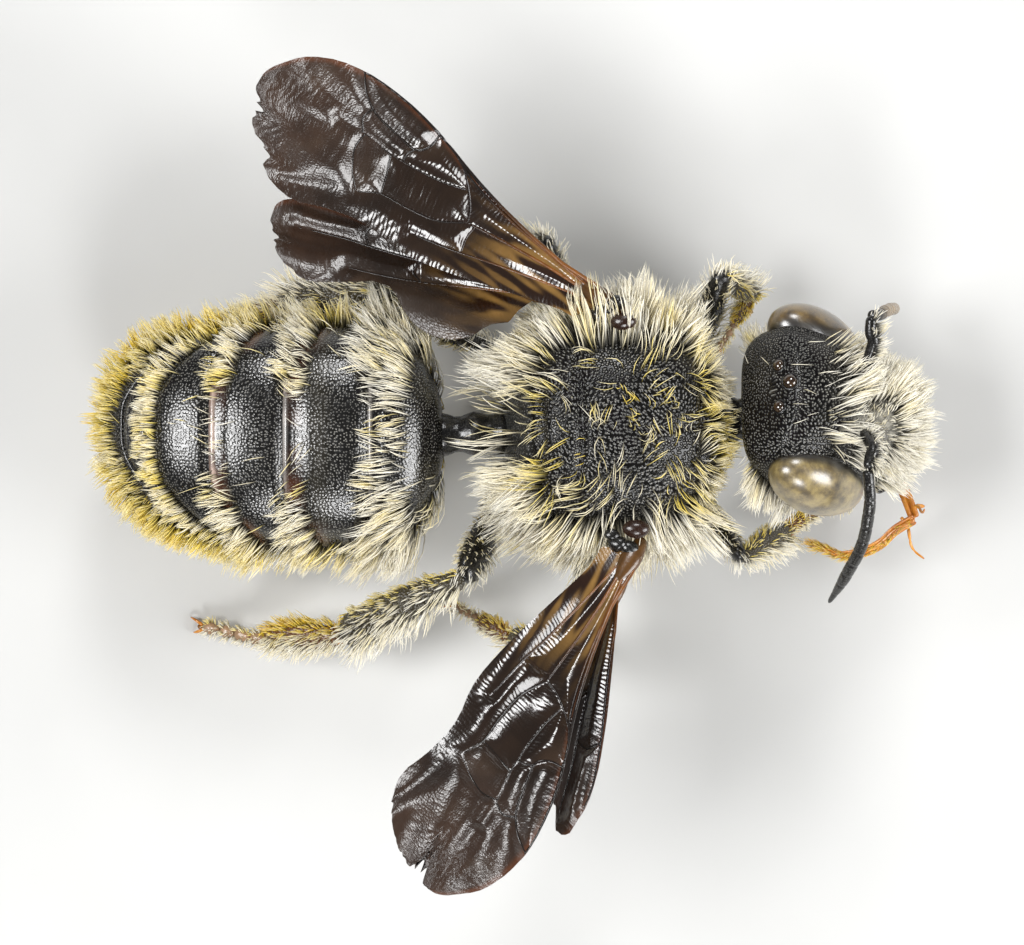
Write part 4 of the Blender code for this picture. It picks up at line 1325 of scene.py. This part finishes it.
def make_veins(wing):
    """The veins, and the thick root that they leave."""
    shape = Shape()
    across = wing.forward[None]
    for *line, thick, thin in wing.veins:
        flat = smooth_line(line, VEIN_STEPS * len(line))
        share = np.linspace(0, 1, len(flat))
        low, high = looked_up(flat[:, 0], wing.edges[0], wing.edges[1:].T).T
        along, forward = flat[:, 0], np.clip(flat[:, 1], low + VEIN_MARGIN, high - VEIN_MARGIN)
        size = mix(thick, thin, share) * 0.5 * np.sqrt(np.clip(1 - (2 * share - 1) ** 20, 0.05, 1))
        centre = wing.out(along, forward, wing.relief(along, forward) + 0.01)
        tint = blend(VEIN_BLACK, VEIN_AMBER, ramp(0.42, 0.1, along / wing.length))
        shape.grid(tube_rings(centre, size, size * 0.9, 10, across), tint[:, None])
    hinge = wing.out((-0.32, 0.0, 0.35, 0.7), 0.0, (-0.06, 0, 0, 0))
    shape.grid(limb(hinge, HINGE, 24, 18, across), HINGE_BROWN)
    shape.make(wing.node + "_veins", "vein", "wing")


# What grows where ------------------------------------------------------

RING_COATS = (  # hairs, where the band starts, how dense over the back, length there and aside, shade
    (3600, 0.5, 0.3, 0.5, 0.95, 0.13),
    (3800, 0.66, 0.02, 0.38, 0.72, 0.2),
    (3500, 0.66, 0.03, 0.38, 0.68, 0.26),
    (4500, 0.76, 1.0, 0.32, 0.6, 0.34),
    (2400, 0.9, 0.02, 0.2, 0.58, 0.42),
    (2600, 0.34, 1.0, 0.36, 0.58, 0.46),
)
LEG_COATS = {  # part: (how dense, length outside and inside, shade outside and inside)
    "coxa": (0.5, 0.36, 0.3, 0.05, 0.2),
    "trochanter": (0.6, 0.4, 0.3, 0.02, 0.15),
    "femur": (0.6, 0.42, 0.24, 0.03, 0.25),
    "tibia": (0.9, 0.56, 0.2, 0.08, 0.45),
    "first_joint": (2.4, 0.36, 0.32, 0.12, 0.78),
    "small_joint": (1.8, 0.2, 0.18, 0.1, 0.3),
}
THORAX_HAIRS, HEAD_HAIRS, SCAPE_HAIRS, TONGUE_HAIRS = 10500, 5600, 130, 700
LEG_HAIRS, FEWEST_HAIRS = {"foreleg": 1600, "midleg": 1700, "hindleg": 2700}, 30
THIN_FEET = 0.5  # how short the hair of the front and middle feet is beside that of the hind feet
BACK = vec(0, 1, 0)


def thorax_rule(at):
    """A nearly bare black back, pale tufts on the sides and behind, and a thin collar."""
    place = at.place
    x, y, z = np.moveaxis(place, -1, 0)
    aside = np.abs(x)
    flank = ramp(1.2, 1.55, aside + 0.12 * wobble(place, 0.5, 47))
    edge = np.maximum(flank, ramp(0.95, 1.35, y + 0.25 * ramp(0.5, 1.2, aside)))
    collar, under = ramp(-1.7, -1.95, y), ramp(2.8, 2.2, z)
    tufts = ramp(-0.5, 0.6, wobble(place, 0.42, 48))
    density = mix(mix(0.05 + 0.1 * tufts, mix(0.22, 1.0, tufts), edge), 0.75, ramp(4.2, 3.5, z))
    density = np.maximum(density, collar * 0.4) * (1 - 0.9 * ramp(0.95, 1.1, y) * ramp(0.85, 0.55, aside))
    lie = thorax_lie(place, flank, edge, collar, under)
    start = unit(at.normal * mix(0.4, 0.75, edge)[..., None] + lie * 0.7)
    end = unit(lie + vec(0, 0, 0.3) * (edge * (1 - under))[..., None])
    length = mix(mix(0.5, 1.05, edge), 0.6, under) * mix(1, 0.85, collar) * mix(0.85, 1.1, tufts)
    length = length * (1 - 0.38 * bump(1.5, 0.4, x) * bump(1.2, 0.4, y))
    tone = mix(0.36, 0.1, edge) + 0.16 * wobble(place, 0.5, 42) * mix(1, 0.7, edge)
    return Growth(density, start, end, length, tone, mix(0.62, 1.1, edge))


def thorax_lie(place, flank, edge, collar, under):
    """Outward at the edges, loose and swirling over the back, forward at the collar and drooping below."""
    x, y, z = np.moveaxis(place, -1, 0)
    outward = np.sign(x)[..., None] * vec(1, 0, 0) * mix(0.35, 1.0, flank)[..., None]
    sweep = unit(outward + BACK * ((y + 0.55) * 0.8)[..., None])
    twist = np.stack([wobble(place, 0.4, 41), wobble(place, 0.4, 46), 0 * z], -1)
    loose = unit(np.stack([x, y + 0.7, 0 * z], -1) * 0.4 + twist)
    lie = blend(blend(loose, sweep, edge), unit(vec(0, -1, 0.25) + twist * 0.5), collar)
    return unit(blend(lie, lie * 0.8 + vec(0, 0.4, -0.8), under))


def head_rule(at):
    """Bright tufts that part round the bare patch of the face, a fringe under the cheeks, a bald crown."""
    place, normal = at.place, at.normal
    x, y, z = np.moveaxis(HEAD.within(place), -1, 0)
    aside, bald_x, bald_z = np.abs(x), x - BALD[0], z - BALD[1]
    from_bald = np.hypot(bald_x * 0.9, bald_z) + 0.1 * wobble(place, 0.2, 58)
    face = ramp(-0.2, -0.55, y) * ramp(0.8, 0.1, z + 0.2 * wobble(place, 0.3, 49))
    gena = ramp(0.0, 0.3, y) * ramp(0.9, 1.2, aside) * ramp(1.0, 0.6, z)
    frons, fuzz = ramp(-0.35, 0.0, z), ramp(0.52, 0.36, from_bald)
    tufts = ramp(-0.6, 0.5, wobble(place, 0.3, 50))
    in_eye = np.exp(-(((aside - 1.36) / 0.5) ** 4) - (z / 1.15) ** 4 - (y / 0.66) ** 4)
    in_socket = bump(SOCKETS[0], 0.2, aside) * bump(SOCKETS[1] + 0.05, 0.22, z)
    chin = 0.3 * ramp(-0.9, -1.3, z)
    density = 0.005 + face * mix(0.25, 1.0, tufts) * mix(1, 0.45, frons) + gena * 2.0 + chin
    density = density * (1 - ramp(0.1, 0.4, in_eye)) * (1 - 0.85 * in_socket) * (1 - 0.3 * fuzz)
    radial = unit(np.stack([bald_x, 0 * x, bald_z], -1)) @ HEAD.axes
    lie = unit(blend(HEAD.axes[1] * -0.35 + normal * 0.6, face_lie(radial, bald_x, frons), face))
    lie = unit(blend(lie, np.sign(x)[..., None] * HEAD.axes[0] + vec(0, 0.25, -0.2), gena))
    lie = unit(blend(lie, normal + radial * 0.5, fuzz))
    length = mix(0.2, mix(0.62, 0.78, frons), face) * mix(0.75, 1.15, tufts)
    length = length * mix(1, 0.75, ramp(0.5, 1.0, x) * face)
    length = length * mix(0.4, 1, ramp(0.35, 0.85, from_bald + 0.6 * ramp(0.1, -0.3, bald_z)))
    length = mix(mix(length, 0.7, gena), 0.15, fuzz)
    tone = 0.05 + 0.12 * (1 - face) * (1 - gena) + 0.1 * wobble(place, 0.4, 43)
    thick = mix(mix(0.7, 1.1, np.maximum(face, gena)), 0.6, fuzz)
    return Growth(density, unit(normal * 0.75 + lie * 0.5), lie, length, tone, thick)


def face_lie(radial, bald_x, frons):
    """Away from the bare patch on the lower face; forward, down and to the sides over it."""
    below = radial * 0.75 - HEAD.axes[1] * 0.45
    above = HEAD.axes[0] * (0.35 * np.sign(bald_x))[..., None] - HEAD.axes[1] * 0.55 - HEAD.axes[2] * 0.6
    return blend(below, above, frons)


def ring_rule(number):
    """The hairs of one ring of the abdomen: what its back, its sides and its belly carry."""
    _, band, across_back, back_length, side_length, shade = RING_COATS[number]

    def rule(at):
        place, normal, v = at.place, at.normal, at.v
        from_top = np.where(at.u > 0.5, 1 - at.u, at.u) * math.tau
        tufts = ramp(-0.7, 0.5, wobble(place, 0.3, 51 + number))
        margin = ramp(band, band + 0.08, v) * ramp(1.0, 0.97, v)
        side = ramp(0.35, 0.75, from_top + 0.12 * wobble(place, 0.3, 57))
        flank, belly = ramp(1.0, 1.3, from_top), ramp(1.75, 2.1, from_top)
        density = margin * mix(across_back, 1.0, side) * mix(0.35, 1.0, tufts) + 0.002
        density = np.maximum(density, flank * (0.22 + 0.5 * margin) * mix(0.3, 1.0, tufts))
        density = mix(density, 0.4, belly) * ramp(0.0, 0.12 if number else 0.35, v)
        outward = unit(normal * vec(1, 0, 1))
        lie = blend(BACK * 0.9 + outward * 0.12, BACK * 0.42 + outward * 0.8, np.maximum(side * 0.5, flank))
        lie = blend(unit(lie), unit(vec(0, 0.85, -0.35)), belly)
        start = unit(normal * mix(0.4, 0.85, flank)[..., None] + lie * 0.75)
        end = unit(lie + vec(0, 0, -0.12) * (1 - belly)[..., None] + BACK * 0.3)
        length = mix(mix(back_length, side_length, np.maximum(flank, side * 0.55)), 0.5, belly)
        tone = mix(shade + 0.12 * flank * (number > 0), 0.72, belly) + 0.1 * wobble(place, 0.4, 44)
        return Growth(density, start, end, length, tone, mix(0.9, 1.1, flank) * (0.8 if number > 3 else 1))

    return rule


def leg_rule(part, size):
    """A long pale fringe on the side away from the body, short golden hair on the other, bare between."""
    thickness, length_out, length_in, shade_out, shade_in = LEG_COATS[part]

    def rule(at):
        normal, v, sign = at.normal, at.v, np.sign(at.place[..., :1])
        outside = ramp(-0.4, 0.3, normal[..., 0] * sign[..., 0])
        away = sign * vec(1, 0, 0) * outside[..., None]
        edge = np.abs(np.sin(at.u * math.tau)) ** 1.5
        density = thickness * mix(mix(0.14, 1.3, edge), 0.9, outside) * ramp(0, 0.1, v) * ramp(1.0, 0.92, v)
        start = unit(normal * 0.8 + at.along * 0.45 + away * 0.3)
        end = unit(normal * 0.4 + at.along + away * 0.5)
        length = mix(length_in * size, length_out * size, outside) * mix(0.6, 1.0, edge)
        tone = mix(shade_in, shade_out, outside) + 0.08 * wobble(at.place, 0.3, 45)
        return Growth(density, start, end, length, tone, 0.95)

    return rule


def scape_rule(at):
    """Long white hairs on the front of a feeler's first joint."""
    front = ramp(0, 0.6, -at.normal[..., 1])
    start, end = unit(at.normal + at.along * 0.3), unit(at.normal * 0.8 + at.along * 0.6)
    return Growth(0.05 + front, start, end, 0.1 + 0.22 * front, 0.03, 0.8)


def tongue_rule(at):
    """Orange down that grows longer to the tongue's tip."""
    start, end = unit(at.normal * 0.5 + at.along), unit(at.normal * 0.3 + at.along)
    return Growth(0.15 + at.v**2, start, end, 0.1 + 0.14 * at.v, 0.9, 0.6)


def leg_skins(leg, parts):
    """(rings, hairs, rule, tile of the bake map) of each part of a leg."""
    areas = [cell_areas(rings).sum() * LEG_COATS[part][0] for part, rings, _ in parts]
    for place, ((part, rings, _), area) in enumerate(zip(parts, areas)):
        count = max(FEWEST_HAIRS, int(LEG_HAIRS[leg.kind] * area / sum(areas)))
        size = THIN_FEET if part == "first_joint" and leg.kind != "hindleg" else 1.0
        yield rings, count, leg_rule(part, size), (place / len(parts), 0, 1 / len(parts))


def grow_coat(name, slot, radius, skins, **habit):
    """One coat over several skins, each given as what Coat.grow takes."""
    coat = Coat(name, slot, radius, **habit)
    for skin in skins:
        coat.grow(*skin)
    coat.make()


def grow_coats(thorax, head, rings, legs, scapes, tongue):
    grow_coat("thorax_coat", "coat", 0.0135, [(thorax, THORAX_HAIRS, thorax_rule)])
    grow_coat("head_coat", "coat", 0.0118, [(head, HEAD_HAIRS, head_rule)], lift=0.12)
    for number, skin in enumerate(rings):
        slot = "coat" if number < GOLDEN_COATS else "golden_coat"
        skins = [(skin, RING_COATS[number][0], ring_rule(number))]
        grow_coat(f"ring_coat_{number + 1}", slot, 0.0112, skins)
    for leg, parts in legs:
        grow_coat(leg.name + "_coat", "coat", 0.0115, leg_skins(leg, parts), pull=0.4, clump=5, lift=0.28)
    for side, skin in scapes.items():
        grow_coat("scape_coat_" + side, "coat", 0.011, [(skin, SCAPE_HAIRS, scape_rule)], pull=0.3, clump=4)
    grow_coat("tongue_coat", "amber", 0.009, [(tongue, TONGUE_HAIRS, tongue_rule)], pull=0.3, clump=4)


# Studio ----------------------------------------------------------------

VIEW_MIDDLE = (-0.82, 1.58, 4.0)
VIEW_HEIGHT, VIEW_WIDTH, SENSOR = 250.0, 18.43, 36.0
FLOOR_HALF = 400.0
AIR_COLOUR, AIR_STRENGTH = (0.95, 0.97, 1.0, 1), 0.13
LAMPS = (  # name, the direction that it stands in, watts a square metre, degrees across
    ("left_lamp", (1.2, -0.1, 1.0), 1.4, 18),
    ("right_lamp", (-1.2, -0.1, 1.0), 1.4, 18),
    ("tail_lamp", (0.02, 0.7, 1.0), 2.6, 26),
    ("face_lamp", (-0.5, -1.8, 1.0), 3.0, 34),
)


def make_studio():
    """A pale floor, soft light from all round and four broad lamps."""
    corners = np.array([(-1, -1, 0), (1, -1, 0), (1, 1, 0), (-1, 1, 0)]) * FLOOR_HALF - SHIFT
    quads, tris = np.array([[0, 1, 2, 3]]), np.empty((0, 3), int)
    floor = mesh_object("studio_floor", corners, quads, tris, floor_finish())
    world = bpy.data.worlds.new("studio_air")
    bpy.context.scene.world = world
    world.use_nodes = True
    air = world.node_tree.nodes["Background"].inputs
    air["Color"].default_value, air["Strength"].default_value = AIR_COLOUR, AIR_STRENGTH
    bpy.context.scene.view_settings.view_transform = "Standard"
    for name, towards, energy, spread in LAMPS:
        lamp = bpy.data.lights.new(name, "SUN")
        lamp.energy, lamp.angle = energy, math.radians(spread)
        placed(name, lamp).rotation_euler = Vector(towards).to_track_quat("Z", "Y").to_euler()


def make_camera():
    """Straight above, with the head to the right of the picture."""
    lens = bpy.data.cameras.new("camera")
    lens.sensor_width = SENSOR
    lens.lens = SENSOR * VIEW_HEIGHT / VIEW_WIDTH
    lens.clip_start, lens.clip_end = 0.01, 10.0
    camera = placed("camera", lens)
    camera.location = (vec(*VIEW_MIDDLE) + vec(0, 0, VIEW_HEIGHT) + SHIFT) * MM
    camera.rotation_euler = (0, 0, -math.pi / 2)
    bpy.context.scene.camera = camera


def make_bee():
    thorax = make_thorax()
    make_links()
    head = make_head()
    make_ocelli(head)
    scapes = {}
    for side in SIDES:
        make_tegula(side)
        make_eye(side)
        scapes[side] = make_feeler(side)
        make_mandible(side)
        for kind in WINGS:
            make_wing(kind, side)
    tongue = make_mouthparts()
    rings = make_rings()
    legs = [make_leg(f"{kind}_{side}") for kind in LEG_SIZES for side in SIDES]
    grow_coats(thorax, head, rings, legs, scapes, tongue)


make_bee()
make_studio()
make_camera()
